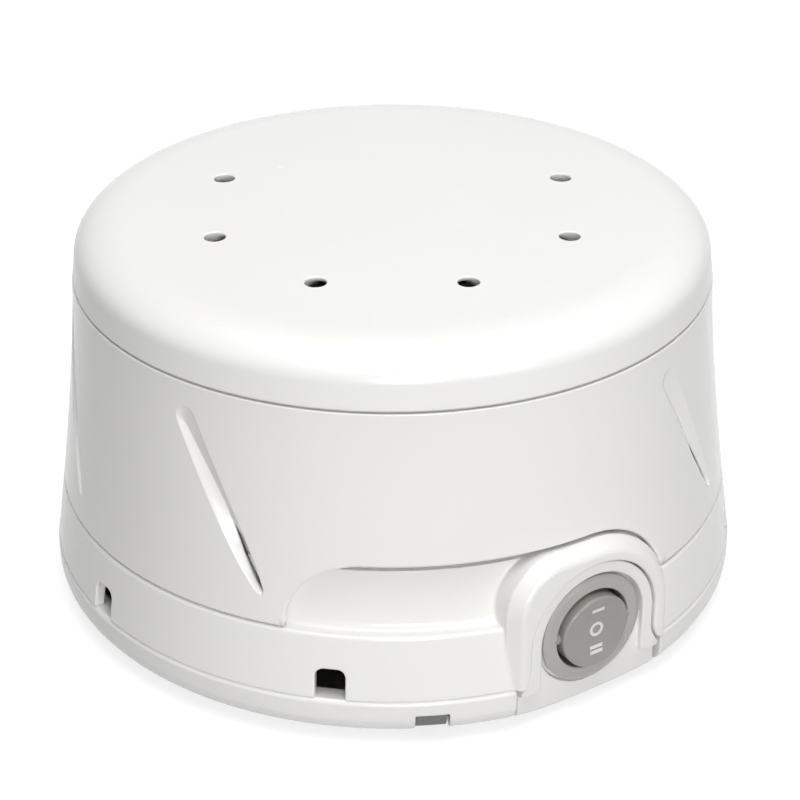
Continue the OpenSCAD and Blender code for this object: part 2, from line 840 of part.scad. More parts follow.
// Copper rings through the stator on two opposite sides of the rotor, which set it turning
shading_wire_r = 0.9;
shading_inset = 1.6;
shading_w = 5.2;
shading_in = rotor_r + air_gap + shading_inset;
shading_out = shading_in + shading_w;
shading_az = [55, 235];

module stator_core() color("silver") {
  motor_frame() difference() {
    translate([-stack_half_w, stack_front_y, z_stack])
      cube([2 * stack_half_w, coil_leg_y + coil_leg_w - stack_front_y, stack_h]);
    translate([0, 0, z_stack - over]) cylinder(r = rotor_r + air_gap, h = stack_h + 2 * over);
    translate([-coil_half_l - coil_slot_gap, coil_leg_y - coil_slot_w, z_stack - over])
      cube([2 * (coil_half_l + coil_slot_gap), coil_slot_w, stack_h + 2 * over]);
    for (side = [-1, 1])
      translate([side * tie_x, 0, z_stack - over]) cylinder(r = screw_r + tie_gap, h = stack_h + 2 * over);
    for (a = shading_az)
      for (r = [shading_in, shading_out])
        rotate([0, 0, a]) translate([r, 0, z_stack - over])
          cylinder(r = shading_wire_r + screw_gap, h = stack_h + 2 * over);
  }
}

module shading_rings() color("peru") {
  strap_t = 1;
  motor_frame() for (a = shading_az) rotate([0, 0, a]) {
    for (r = [shading_in, shading_out])
      translate([r, 0, z_stack - strap_t]) cylinder(r = shading_wire_r, h = stack_h + 2 * strap_t);
    for (z = [z_stack - strap_t, z_stack_top])
      translate([shading_in, -shading_wire_r, z]) cube([shading_w, 2 * shading_wire_r, strap_t]);
  }
}

bobbin_wall = 1;
bobbin_gap = 0.05;
bobbin_end_t = 1.4;
coil_depth = 5;
bobbin_flange = coil_depth + bobbin_wall;

// Box about the coil leg, grown by a margin on all four sides
module leg_box(margin, half_l) {
  translate([-half_l, coil_leg_y - margin, z_stack - margin])
    cube([2 * half_l, coil_leg_w + 2 * margin, stack_h + 2 * margin]);
}

module coil_bobbin() color("ivory") {
  motor_frame() difference() {
    union() {
      leg_box(bobbin_wall, coil_half_l);
      for (side = [-1, 1])
        translate([side * (coil_half_l - bobbin_end_t / 2), 0, 0]) leg_box(bobbin_flange, bobbin_end_t / 2);
    }
    leg_box(bobbin_gap, coil_half_l + over);
  }
}

module coil_winding() color("chocolate") {
  motor_frame() difference() {
    leg_box(coil_depth, coil_half_l - bobbin_end_t - bobbin_gap);
    leg_box(bobbin_wall + bobbin_gap, coil_half_l + over);
  }
}

fuse_r = 1.6;
fuse_l = 12;

module thermal_fuse() color("lightsteelblue") {
  motor_frame() translate([-fuse_l / 2, coil_leg_y + coil_leg_w / 2, z_stack_top + coil_depth + fuse_r])
    rotate([0, 90, 0]) cylinder(r = fuse_r, h = fuse_l);
}

module motor_rotor() color("lightgray") {
  ring(rotor_r, shaft_r, z_stack - rotor_over, z_stack_top + rotor_over);
}

fan_rise = 4;
fan_plate_t = 2;
fan_hub_r = 6.5;
fan_low_z = z_deck + fan_rise;
fan_top_z = fan_low_z + blade_h + fan_plate_t;
shaft_tail = 1.2;
shaft_nose = 2.5;
shaft_low_z = low_bearing_z - shaft_tail;
shaft_high_z = fan_top_z + shaft_nose;

module motor_shaft() color("silver") {
  translate([0, 0, shaft_low_z]) cylinder(r = shaft_r, h = shaft_high_z - shaft_low_z);
}

module thrust_washers() color("tan") {
  for (z = [z_stack - rotor_over - washer_gap - washer_t, z_stack_top + rotor_over + washer_gap])
    ring(shaft_r + washer_gap + washer_w, shaft_r + washer_gap, z, z + washer_t);
}

module lower_bearing() color("darkgoldenrod") {
  ring(bearing_r, shaft_r + run_gap, low_bearing_z, low_bearing_z + bearing_h);
}

module upper_bearing() color("darkgoldenrod") {
  ring(bearing_r, shaft_r + run_gap, high_bearing_z, high_bearing_z + bearing_h);
}

grommet_r = 6;
grommet_neck_r = 4;
grommet_bore_gap = 0.6;
grommet_bore_r = screw_r + grommet_bore_gap;
grommet_h = bracket_t + 2 * grommet_lip_t;
grommet_top = post_top + grommet_h;

module lower_bracket() color("silver") {
  motor_frame() difference() {
    union() {
      translate([-mount_x - grommet_r, -bracket_w / 2, low_bracket_z])
        cube([2 * (mount_x + grommet_r), bracket_w, bracket_t]);
      for (side = [-1, 1])
        translate([side * tie_x - leg_w / 2, -bracket_w / 2, low_bracket_z])
          cube([leg_w, bracket_w, z_stack - low_bracket_z]);
      ring(bearing_r + hub_wall, bearing_r, low_bearing_z, low_bearing_z + bearing_h);
    }
    translate([0, 0, low_bearing_z - over]) cylinder(r = bearing_r, h = bearing_h + 2 * over);
    for (side = [-1, 1]) {
      translate([side * tie_x, 0, low_bracket_z - over]) cylinder(r = screw_r + screw_gap, h = reach);
      translate([side * mount_x, 0, low_bracket_z - over]) cylinder(r = grommet_neck_r, h = reach);
    }
  }
}

module upper_bracket() color("silver") {
  half = tie_x + leg_w / 2;
  motor_frame() difference() {
    union() {
      translate([-half, -bracket_w / 2, high_bracket_z]) cube([2 * half, bracket_w, bracket_t]);
      for (side = [-1, 1])
        translate([side * tie_x - leg_w / 2, -bracket_w / 2, z_stack_top])
          cube([leg_w, bracket_w, high_bracket_z + bracket_t - z_stack_top]);
      ring(bearing_r + hub_wall, bearing_r, high_bearing_z, high_bearing_z + bearing_h);
    }
    translate([0, 0, high_bearing_z - over]) cylinder(r = bearing_r, h = bearing_h + 2 * over);
    for (side = [-1, 1])
      translate([side * tie_x, 0, z_stack_top - over]) cylinder(r = screw_r + screw_gap, h = reach);
  }
}

module motor_screws() color("silver") {
  motor_frame() for (side = [-1, 1]) translate([side * tie_x, 0, 0]) {
    translate([0, 0, low_bracket_z]) cylinder(r = screw_r, h = high_bracket_z + bracket_t - low_bracket_z);
    translate([0, 0, high_bracket_z + bracket_t]) cylinder(r = screw_head_r, h = head_h);
  }
}

module rubber_grommets() color("dimgray") {
  motor_frame() for (side = [-1, 1]) translate([side * mount_x, 0, 0]) difference() {
    union() {
      translate([0, 0, post_top]) cylinder(r = grommet_r, h = grommet_lip_t);
      translate([0, 0, low_bracket_z]) cylinder(r = grommet_neck_r, h = bracket_t);
      translate([0, 0, low_bracket_z + bracket_t]) cylinder(r = grommet_r, h = grommet_lip_t);
    }
    translate([0, 0, post_top - over]) cylinder(r = grommet_bore_r, h = grommet_h + 2 * over);
  }
}

module mount_screws() color("silver") {
  motor_frame() for (side = [-1, 1]) translate([side * mount_x, 0, 0]) {
    translate([0, 0, z_floor + over]) cylinder(r = screw_r, h = grommet_top - z_floor - over);
    translate([0, 0, grommet_top]) cylinder(r = screw_head_r + grommet_bore_gap, h = head_h);
  }
}

// ---- Fan wheel ----

blade_in_r = 15;
blade_inset = 1.5;
blade_lean = 12;
hub_rise = 2;

// The blades' spacing is uneven on purpose, which keeps the wheel's own note out of the sound
blade_shift = 3.5;

module fan_wheel() color("gainsboro") {
  difference() {
    union() {
      translate([0, 0, fan_low_z + blade_h]) cylinder(r = fan_r, h = fan_plate_t);
      translate([0, 0, fan_low_z + hub_rise]) cylinder(r = fan_hub_r, h = blade_h + fan_plate_t - hub_rise);
      for (k = [0 : blade_count - 1])
        rotate([0, 0, 360 * k / blade_count + blade_shift * sin(2 * 360 * k / blade_count)])
          translate([blade_in_r, 0, fan_low_z]) rotate([0, 0, blade_lean])
            cube([fan_r - blade_in_r - blade_inset, blade_t, blade_h + fan_plate_t / 2]);
    }
    translate([0, 0, fan_low_z - over]) cylinder(r = shaft_r, h = blade_h + fan_plate_t + 2 * over);
  }
}

clip_w = 2.6;
clip_t = 0.8;

module fan_clip() color("silver") {
  ring(shaft_r + clip_w, shaft_r, fan_top_z, fan_top_z + clip_t);
}

// ---- Fasteners of the body ----

module plate_screws() color("silver") {
  for (k = [0 : plate_screw_count - 1])
    at_az(plate_screw_az + 360 * k / plate_screw_count) translate([0, -plate_screw_r, 0]) {
      translate([0, 0, z_plate + head_gap]) cylinder(r = screw_head_r, h = head_h);
      translate([0, 0, z_plate + head_gap + head_h]) cylinder(r = screw_r, h = plate_screw_l);
    }
}

module drum_screws() color("silver") {
  for (k = [0 : drum_screw_count - 1])
    at_az(drum_screw_az + 360 * k / drum_screw_count) translate([0, -drum_screw_r, 0]) {
      translate([0, 0, flange_z - drum_screw_l]) cylinder(r = screw_r, h = drum_screw_l);
      translate([0, 0, flange_z]) cylinder(r = screw_head_r - head_gap, h = head_h);
    }
}

// ---- Cord gland ----

gland_barrel_l = 9;

module cord_gland() color("lightgray") {
  facing(pod_az + 180) translate([0, z_gland, gland_flat_n]) difference() {
    union() {
      cylinder(r = gland_flange_r, h = gland_flange_t);
      translate([0, 0, -gland_barrel_l]) cylinder(r = gland_r, h = gland_barrel_l);
    }
    translate([0, 0, -gland_barrel_l - over]) cylinder(r = gland_bore_r, h = 2 * gland_barrel_l);
  }
}

module gland_nut() color("gray") {
  nut_t = 3;
  nut_extra = 1.6;
  facing(pod_az + 180) translate([0, z_gland, gland_flat_n - gland_pad_t - nut_t]) difference() {
    cylinder(r = gland_flange_r + nut_extra, h = nut_t, $fn = 6);
    translate([0, 0, -over]) cylinder(r = gland_r, h = nut_t + 2 * over);
  }
}

// ---- Inner leads ----

// Routes in the motor's own frame: sideways, towards the back, and up from the switch's height.
// They start just off the switch's terminals and end at the coil and at the gland.
lead_gap = 0.35;
switch_lead_y = -(field_n - barrel_l - terminal_l) + lead_gap;
motor_route = [
  [-blade_pitch, switch_lead_y, 0], [-7, switch_lead_y + 3, 0], [-13, -37, 3], [-25, -30, 7], [-36, -19, 10],
  [-41, 0, 12], [-38, 20, 12], [-31, 34, 11], [-23, 40, 10], [-coil_half_l - 0.4, 40, 10]
];
supply_route = [
  [blade_pitch, switch_lead_y, 0], [7, switch_lead_y + 3, 0], [14, -39, 2], [27, -32, 4], [38, -20, 6],
  [43, 4, 6], [38, 26, 4], [22, 42, 2], [6, 52, 0], [0, 60, -1]
];
lead_sides = 8;
lead_steps = 4;
lead_apart = 1.3 * lead_r;

function spline(a, b, c, d, t) =
  0.5 * (2 * b + (c - a) * t + (2 * a - 5 * b + 4 * c - d) * t * t + (3 * b - a - 3 * c + d) * t * t * t);

// Smooth points through a route, in the body's frame
function smooth(route) = [
  for (i = [0 : len(route) - 2])
    for (j = [0 : (i == len(route) - 2 ? lead_steps : lead_steps - 1)])
      spline(route[max(0, i - 1)], route[i], route[i + 1], route[min(len(route) - 1, i + 2)], j / lead_steps)
];

function unit(v) = v / norm(v);

module tube(path, r) {
  n = len(path);
  rings = [
    for (i = [0 : n - 1])
      let (
        along = unit(path[min(n - 1, i + 1)] - path[max(0, i - 1)]),
        side = unit(cross(along, [0, 0, 1])),
        up = cross(side, along)
      )
        for (k = [0 : lead_sides - 1])
          path[i] + r * (cos(360 * k / lead_sides) * side + sin(360 * k / lead_sides) * up)
  ];
  sides = [
    for (i = [0 : n - 2])
      for (k = [0 : lead_sides - 1])
        let (k2 = (k + 1) % lead_sides)
          [i * lead_sides + k, i * lead_sides + k2, (i + 1) * lead_sides + k2, (i + 1) * lead_sides + k]
  ];
  first = [for (k = [lead_sides - 1 : -1 : 0]) k];
  last = [for (k = [0 : lead_sides - 1]) (n - 1) * lead_sides + k];
  polyhedron(points = rings, faces = concat(sides, [first], [last]), convexity = 6);
}

module lead_pair(route) {
  motor_frame() for (k = [-1, 1])
    translate([0, 0, z_switch + k * lead_apart]) tube(smooth(route), lead_r);
}

module motor_leads() color("firebrick") {
  lead_pair(motor_route);
}

module supply_leads() color("black") {
  lead_pair(supply_route);
}

bottom_plate();
base_housing();
outer_shell();
top_cap();
sound_drum();
felt_ring();
switch_panel();
switch_body();
switch_rocker();
switch_marks();
switch_terminals();
fan_wheel();
fan_clip();
motor_shaft();
motor_rotor();
stator_core();
shading_rings();
coil_bobbin();
coil_winding();
thermal_fuse();
upper_bracket();
lower_bracket();
upper_bearing();
lower_bearing();
thrust_washers();
motor_screws();
rubber_grommets();
mount_screws();
plate_screws();
drum_screws();
rubber_feet();
cord_gland();
gland_nut();
motor_leads();
supply_leads();
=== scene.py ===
import json
import math

import bpy
import numpy as np
from mathutils import Matrix, Vector

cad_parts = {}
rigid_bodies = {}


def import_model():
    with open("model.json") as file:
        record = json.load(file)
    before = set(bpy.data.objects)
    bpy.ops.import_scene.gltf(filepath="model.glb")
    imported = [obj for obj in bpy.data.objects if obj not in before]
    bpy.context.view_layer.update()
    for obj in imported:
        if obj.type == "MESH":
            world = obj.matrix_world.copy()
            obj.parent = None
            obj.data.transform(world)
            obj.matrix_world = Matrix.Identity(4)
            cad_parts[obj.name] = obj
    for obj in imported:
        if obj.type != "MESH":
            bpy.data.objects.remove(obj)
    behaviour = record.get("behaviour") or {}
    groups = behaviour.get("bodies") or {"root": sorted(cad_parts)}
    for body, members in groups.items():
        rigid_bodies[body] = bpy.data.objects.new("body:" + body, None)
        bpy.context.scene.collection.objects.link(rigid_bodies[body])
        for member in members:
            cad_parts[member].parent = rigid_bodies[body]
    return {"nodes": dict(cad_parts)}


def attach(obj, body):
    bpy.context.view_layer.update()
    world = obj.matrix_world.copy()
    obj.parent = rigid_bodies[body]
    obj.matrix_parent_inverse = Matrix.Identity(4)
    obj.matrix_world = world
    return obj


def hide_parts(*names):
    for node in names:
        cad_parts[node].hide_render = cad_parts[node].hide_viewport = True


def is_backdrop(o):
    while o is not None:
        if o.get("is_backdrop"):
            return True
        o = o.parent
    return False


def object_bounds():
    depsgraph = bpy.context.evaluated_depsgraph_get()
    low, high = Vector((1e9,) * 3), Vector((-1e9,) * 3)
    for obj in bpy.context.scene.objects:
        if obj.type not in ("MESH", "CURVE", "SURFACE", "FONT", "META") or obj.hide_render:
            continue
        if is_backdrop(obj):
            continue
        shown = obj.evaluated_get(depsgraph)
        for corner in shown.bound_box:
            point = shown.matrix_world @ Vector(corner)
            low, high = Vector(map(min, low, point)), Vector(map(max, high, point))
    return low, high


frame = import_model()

scene = bpy.context.scene
cad_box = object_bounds()

# ---- Studio ----
# A plain pale table in a white room, soft lamps overhead, in front and on the right, and a weak one behind.
# The camera stands in front and looks down on the machine.

LENS_MM, SENSOR_MM, NEAR_M = 103.82, 36.0, 0.01
CAMERA_AT = (0.0012, -0.4347, 0.2758)
LOOK_DOWN, LOOK_SIDE, LOOK_ROLL = 28.83, 0.04, -0.11
LAMP_AIM = (0, 0, 0.04)
LAMPS = {
    "lamp_top": ((0.05, 0.0, 0.95), 0.80, 7.0),
    "lamp_top_front": ((0.0, -0.45, 0.9), 0.70, 1.9),
    "lamp_front": ((0.12, -1.3, 0.30), 0.40, 7.5),
    "lamp_right": ((0.70, -1.0, 0.4), 0.50, 2.0),
    "lamp_back": ((-0.25, 1.2, 0.2), 0.50, 3.0),
}
WHITE, FILL, BACKDROP = (1, 1, 1, 1), 0.02, 0.87
TABLE_HALF, PAPER_TONE, PAPER_ROUGH, PAPER_GLOSS, PAPER_LIFT = 6, 0.36, 0.9, 0.1, 0.76


def placed(name, data):
    """A new object in the scene."""
    thing = bpy.data.objects.new(name, data)
    scene.collection.objects.link(thing)
    return thing


down, side, roll = (math.radians(a) for a in (LOOK_DOWN, LOOK_SIDE, LOOK_ROLL))
ahead = Vector((math.sin(side) * math.cos(down), math.cos(side) * math.cos(down), -math.sin(down)))
level = Vector((math.cos(side), -math.sin(side), 0.0))
upright = level.cross(ahead)
right = math.cos(roll) * level + math.sin(roll) * upright
upward = math.cos(roll) * upright - math.sin(roll) * level
camera_data = bpy.data.cameras.new("camera")
camera_data.lens, camera_data.sensor_width, camera_data.clip_start = LENS_MM, SENSOR_MM, NEAR_M
camera = placed("camera", camera_data)
camera.matrix_world = Matrix.Translation(CAMERA_AT) @ Matrix((right, upward, -ahead)).transposed().to_4x4()
scene.camera = camera
scene.view_settings.view_transform = "Standard"
for name, (place, size, watts) in LAMPS.items():
    data = bpy.data.lights.new(name, "AREA")
    data.shape, data.size, data.energy = "SQUARE", size, watts
    lamp = placed(name, data)
    lamp.location = place
    lamp.rotation_euler = (Vector(LAMP_AIM) - Vector(place)).to_track_quat("-Z", "Y").to_euler()
    lamp.visible_glossy = name != "lamp_back"


def maths(kind, *values):
    """A math node over sockets and numbers, with at least one socket."""
    tree = next(v for v in values if hasattr(v, "is_output")).id_data
    node = tree.nodes.new("ShaderNodeMath")
    node.operation = kind
    for k, v in enumerate(values):
        if hasattr(v, "is_output"):
            tree.links.new(v, node.inputs[k])
        else:
            node.inputs[k].default_value = v
    return node.outputs[0]


def looked_at(tree):
    """1 for rays from the camera, also by way of gloss or glass, and 0 for all others."""
    ray = tree.nodes.new("ShaderNodeLightPath").outputs
    by_way = maths("MAXIMUM", ray["Is Glossy Ray"], ray["Is Transmission Ray"])
    return maths("MAXIMUM", ray["Is Camera Ray"], by_way)


room = bpy.data.worlds.new("room")
scene.world = room
room.use_nodes = True
t = room.node_tree
ground = t.nodes["Background"].inputs
ground["Color"].default_value = WHITE
bright = t.nodes.new("ShaderNodeMapRange")
bright.inputs["To Min"].default_value, bright.inputs["To Max"].default_value = FILL, BACKDROP
t.links.new(looked_at(t), bright.inputs["Value"])
t.links.new(bright.outputs["Result"], ground["Strength"])

paper = bpy.data.materials.new("white_paper")
paper.use_nodes = True
t = paper.node_tree
sheet = t.nodes["Principled BSDF"].inputs
sheet["Base Color"].default_value = (PAPER_TONE, PAPER_TONE, PAPER_TONE, 1)
sheet["Roughness"].default_value = PAPER_ROUGH
sheet["Specular IOR Level"].default_value = PAPER_GLOSS
sheet["Emission Color"].default_value = WHITE
t.links.new(maths("MULTIPLY", looked_at(t), PAPER_LIFT), sheet["Emission Strength"])
table = bpy.data.meshes.new("table")
corners = [(x * TABLE_HALF, y * TABLE_HALF, 0) for x, y in ((-1, -1), (1, -1), (1, 1), (-1, 1))]
table.from_pydata(corners, [], [(0, 1, 2, 3)])
table.materials.append(paper)
placed("table_top", table)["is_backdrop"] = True

# ---- Top cap ----
# Injection-moulded gloss cap with a low crown and a soft rolled edge. Six sound holes go through it on eight
# even places, and it turns by hand on a bead round the drum.

MM, SAME, WELD_GAP, ARC_STEP = 0.001, 1e-6, 2e-3, math.radians(11)


def unit(v):
    """Rows of vectors at length 1."""
    return v / np.maximum(np.linalg.norm(v, axis=-1, keepdims=True), 1e-9)


def piece(name, mesh, body, finish, node):
    """A piece from (points, faces, normals) in millimetres, which rides on a body and takes a CAD node's place."""
    points, faces, normals = mesh
    data = bpy.data.meshes.new(name)
    data.from_pydata((points * MM).tolist(), [], [tuple(int(i) for i in f) for f in faces])
    data.validate(clean_customdata=False)
    data.shade_smooth()
    own = np.zeros(len(data.vertices) * 3)
    data.vertices.foreach_get("normal", own)
    bare = ~np.isfinite(normals).all(1)
    normals[bare] = own.reshape(-1, 3)[bare]
    data.normals_split_custom_set_from_vertices(normals.tolist())
    data.materials.append(finish)
    thing = placed(name, data)
    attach(thing, body)
    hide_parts(node)


def weld(points, faces, normals):
    """Joins corners that lie on each other, and drops faces that fold to nothing."""
    key = np.round(points / WELD_GAP).astype(np.int64)
    _, first, back = np.unique(key, axis=0, return_index=True, return_inverse=True)
    back = back.reshape(-1)
    folded = (tuple(dict.fromkeys(int(back[i]) for i in f)) for f in faces)
    return points[first], [f for f in folded if len(f) > 2], normals[first]


def trace(corners, hand=1, step=2.0):
    """Profile through corners (r, z, radius), rounded by their radius, with normals to its right (1) or left (-1)."""
    corners = [tuple(c) + (0.0,) * (3 - len(c)) for c in corners]
    pts, nrm = [], []

    def put(p, d):
        n = np.array([d[1], -d[0]]) * hand
        if pts and np.linalg.norm(p - pts[-1]) < SAME:
            nrm[-1] = unit(nrm[-1] + n)
        else:
            pts.append(p)
            nrm.append(n)

    flat = [np.array(c[:2], float) for c in corners]
    start = flat[0]
    for k in range(1, len(flat)):
        along = unit(flat[k] - flat[k - 1])
        end, radius = flat[k], corners[k][2] if k < len(flat) - 1 else 0
        if radius:
            onward = unit(flat[k + 1] - flat[k])
            turn = math.atan2(along[0] * onward[1] - along[1] * onward[0], along @ onward)
            reach = radius * math.tan(abs(turn) / 2)
            end = flat[k] - along * reach
        n = max(1, math.ceil(np.linalg.norm(end - start) / step))
        for i in range(n + 1):
            put(start + (end - start) * i / n, along)
        start = end
        if radius:
            centre = end + np.array([-along[1], along[0]]) * math.copysign(radius, turn)
            m = max(3, math.ceil(abs(turn) / ARC_STEP))
            for i in range(1, m + 1):
                c, s = math.cos(turn * i / m), math.sin(turn * i / m)
                spun = np.array([[c, -s], [s, c]])
                put(centre + spun @ (end - centre), spun @ along)
            start = flat[k] + onward * reach
    return np.array(pts), np.array(nrm)


def sided(p, hand):
    """A curve with its normals, to its right (1) or left (-1)."""
    d = np.gradient(p, axis=0)
    return p, unit(np.stack([d[:, 1], -d[:, 0]], 1)) * hand


def resample(pts, nrm, count):
    """The same profile by an even number of steps."""
    s = np.concatenate([[0], np.cumsum(np.linalg.norm(np.diff(pts, axis=0), axis=1))])
    t = np.linspace(0, s[-1], count)
    out, n = (np.stack([np.interp(t, s, a[:, i]) for i in (0, 1)], 1) for a in (pts, nrm))
    return out, unit(n)


class Wrap:
    """A profile in zones, outside and inside alike, that flat (azimuth, run) layouts are wrapped onto."""

    def __init__(self, zones, after_steady):
        faces, self.starts = ([], []), []
        for *curves, count in zones:
            self.starts.append(sum(len(pts) for pts, _ in faces[0]))
            skip = 1 if faces[0] else 0
            for face, curve in zip(faces, curves):
                face.append([a[skip:] for a in resample(*curve, count)])
        self.faces = [[np.concatenate(part) for part in zip(*face)] for face in faces]
        steps = np.linalg.norm(np.diff(self.faces[0][0], axis=0), axis=1)
        self.run = np.concatenate([[0], np.cumsum(np.maximum(steps, 1e-4))])
        self.starts.append(len(self.run))
        self.steady = slice(self.starts[1] - 1, self.starts[after_steady])

    def at(self, which, az, run, depth, tilt):
        """Places (azimuth, run, depth) on the outside (0) or inside (1), with normals from (across, up, out)."""
        pts, nrm = self.faces[which]
        nr, nz = unit(np.stack([np.interp(run, self.run, nrm[:, i]) for i in (0, 1)], 1)).T
        r, z = (np.interp(run, self.run, pts[:, i]) - depth * n for i, n in enumerate((nr, nz)))
        s, c = np.sin(np.radians(az)), np.cos(np.radians(az))
        out, across = np.stack([nr * s, -nr * c, nz], 1), np.stack([c, s, 0 * s], 1)
        n = tilt[:, :1] * across + tilt[:, 1:2] * np.cross(out, across) + tilt[:, 2:] * out
        return np.stack([r * s, -r * c, z], 1), n

    def run_at(self, value, part=1):
        """Run of a height (part 1) or radius (part 0) on the outside, where that grows or shrinks steadily."""
        v, s = self.faces[0][0][self.steady, part], self.run[self.steady]
        return float(np.interp(value, v, s) if v[0] < v[-1] else np.interp(value, v[::-1], s[::-1]))


def spread(line, marks, counts, loop, weight=3.0):
    """Points along a line: marks are where a block's corners join it, counts the steps between them."""
    seg = np.diff(line, axis=0)
    length = np.linalg.norm(seg, axis=1)
    bend = np.abs((np.diff(np.arctan2(seg[:, 1], seg[:, 0])) + np.pi) % (2 * np.pi) - np.pi)
    turn = np.concatenate([[0], bend, [0]])
    cost = length + weight * (turn[:-1] + turn[1:]) / 2
    plain, dense = (np.concatenate([[0], np.cumsum(a)]) / a.sum() for a in (length, cost))
    ends = np.interp(marks, plain, dense)
    at = [a + (b - a) * i / n for a, b, n in zip(ends, ends[1:], counts) for i in range(n)]
    at += [] if loop else [ends[-1]]
    return np.stack([np.interp(at, dense, line[:, i]) for i in (0, 1)], 1)


def strip(a, b, loop, only=None):
    """Quads between two lines of corners, all of them or where one of their ends is marked."""
    n = len(a)
    pairs = ((k, (k + 1) % n) for k in range(n if loop else n - 1))
    return [(a[k], b[k], b[m], a[m]) for k, m in pairs if only is None or only[k] or only[m]]


class Layout:
    """One face of a moulding laid out flat: lines of azimuth by lines of run, with blocks left for openings."""

    def __init__(self, azs, runs, blocks):
        self.azs, self.runs, self.n = azs, runs, len(azs)
        self.place, self.tilt, self.quads, self.ids = [], [], [], {}
        taken = {(i % self.n, j) for i0, i1, j0, j1 in blocks for i in range(i0, i1) for j in range(j0, j1)}
        for i in range(self.n):
            for j in range(len(runs) - 1):
                if (i, j) not in taken:
                    around = ((i, j), (i + 1, j), (i + 1, j + 1), (i, j + 1))
                    self.quads.append(tuple(self.corner(*c) for c in around))

    def az(self, i):
        return self.azs[i % self.n] + 360 * (i // self.n)

    def corner(self, i, j):
        key = (i % self.n, j)
        if key not in self.ids:
            self.ids[key] = self.add([self.az(i)], [self.runs[j]])[0]
        return self.ids[key]

    def add(self, az, run, depth=0.0, tilt=(0, 0, 1)):
        first, n = len(self.place), len(az)
        self.place += zip(az, run, np.broadcast_to(depth, n))
        self.tilt += list(np.broadcast_to(tilt, (n, 3)))
        return list(range(first, first + n))

    def ring(self, last, loop, flat, depth=0.0, tilt=(0, 0, 1)):
        """One more line of corners, with faces between it and the last one."""
        new = self.add(*flat.T, depth, tilt)
        self.quads += strip(last, new, loop)
        return new

    def edge(self, block, open_low):
        """Corners round a block, clockwise from its low left, and their flat places."""
        i0, i1, j0, j1 = block
        path = [(i0, j) for j in range(j0, j1)] + [(i, j1) for i in range(i0, i1)]
        path += [(i1, j) for j in range(j1, j0, -1)]
        path += [(i1, j0)] if open_low else [(i, j0) for i in range(i1, i0, -1)]
        return [self.corner(*c) for c in path], np.array([(self.az(i), self.runs[j]) for i, j in path])


def away(flat, scale, loop):
    """Directions across an outline, away from its opening, for an outline that runs clockwise."""
    p = flat * [scale, 1]
    d = unit(np.roll(p, -1, 0) - np.roll(p, 1, 0) if loop else np.gradient(p, axis=0))
    return np.stack([-d[:, 1], d[:, 0]], 1)


def rim(lay, block, outline, scale, loop, soft, blends=(0.4, 0.75), reach=1.8):
    """Rings from a block's edge to an opening's outline, rounded over its rim. Gives the last ring's corners."""
    last, flat = lay.edge(block, not loop)
    out = away(outline, scale, loop)
    grown = lambda d: outline + out * d / [scale, 1]
    for t in blends:
        last = lay.ring(last, loop, flat + (grown(soft * reach) - flat) * t)
    for d in (reach, 1.0):
        last = lay.ring(last, loop, grown(soft * d))
    for a in np.linspace(0, math.pi / 2, 5)[1:]:
        s, c = math.sin(a), math.cos(a)
        tilt = np.column_stack([-out * s, np.full(len(out), c)])
        last = lay.ring(last, loop, grown(soft * (1 - s)), soft * (1 - c), tilt)
    return last


def both_faces(wrap, layouts, joins):
    """Wraps an outside and an inside layout, and joins their openings with walls."""
    places = [wrap.at(k, *np.array(lay.place).T, np.array(lay.tilt, float)) for k, lay in enumerate(layouts)]
    shift = len(places[0][0])
    faces = layouts[0].quads + [tuple(i + shift for i in f[::-1]) for f in layouts[1].quads]
    for a, b, loop, only in joins:
        faces += strip(a, [i + shift for i in b], loop, only)
    points, normals = (np.concatenate(part) for part in zip(*places))
    return weld(points, faces, normals)


CAP_FOOT_Z, CAP_TOP_Z, CAP_FOOT_R, CAP_FLAT_R = 70.2, 82.5, 66.1, 54.05
CAP_DOME, CAP_EDGE_W, CAP_EDGE_H, CAP_POWER, CAP_WALL = 0.9, 11.5, 6.7, 2.25, 2.2
CAP_FOOT_ROUND, CAP_FOOT_ROUND_IN, CAP_TIP_GAP = 0.2, 0.35, 0.4
HOLE_RING_R, HOLE_R, HOLE_SOFT = 38.4, 2.15, 0.35
PLACES_AZ, PLACE_STEP, HOLES, BLOCK_HALF_AZ, BLOCK_HALF_R = [-112.5 + 45 * k for k in range(8)], 45, 6, 7.5, 5.0


def crown(inset):
    """The cap's curve from its side up and in to the axis, outside or inset, with its normals."""
    hand = -1 if inset else 1
    a = np.radians(np.linspace(90, 0, 40))
    r = np.concatenate([CAP_FLAT_R + (CAP_EDGE_W - inset) * np.sin(a), np.linspace(CAP_FLAT_R, 0, 40)[1:]])
    roll = np.clip((r - CAP_FLAT_R) / (CAP_EDGE_W - inset), 0, 1)
    drop = CAP_EDGE_H * (1 - (1 - roll**CAP_POWER) ** (1 / CAP_POWER))
    p, n = sided(np.stack([r, CAP_TOP_Z - inset - CAP_DOME * (r / CAP_FLAT_R) ** 2 - drop], 1), hand)
    n[-1] = (0, hand)
    return p, n


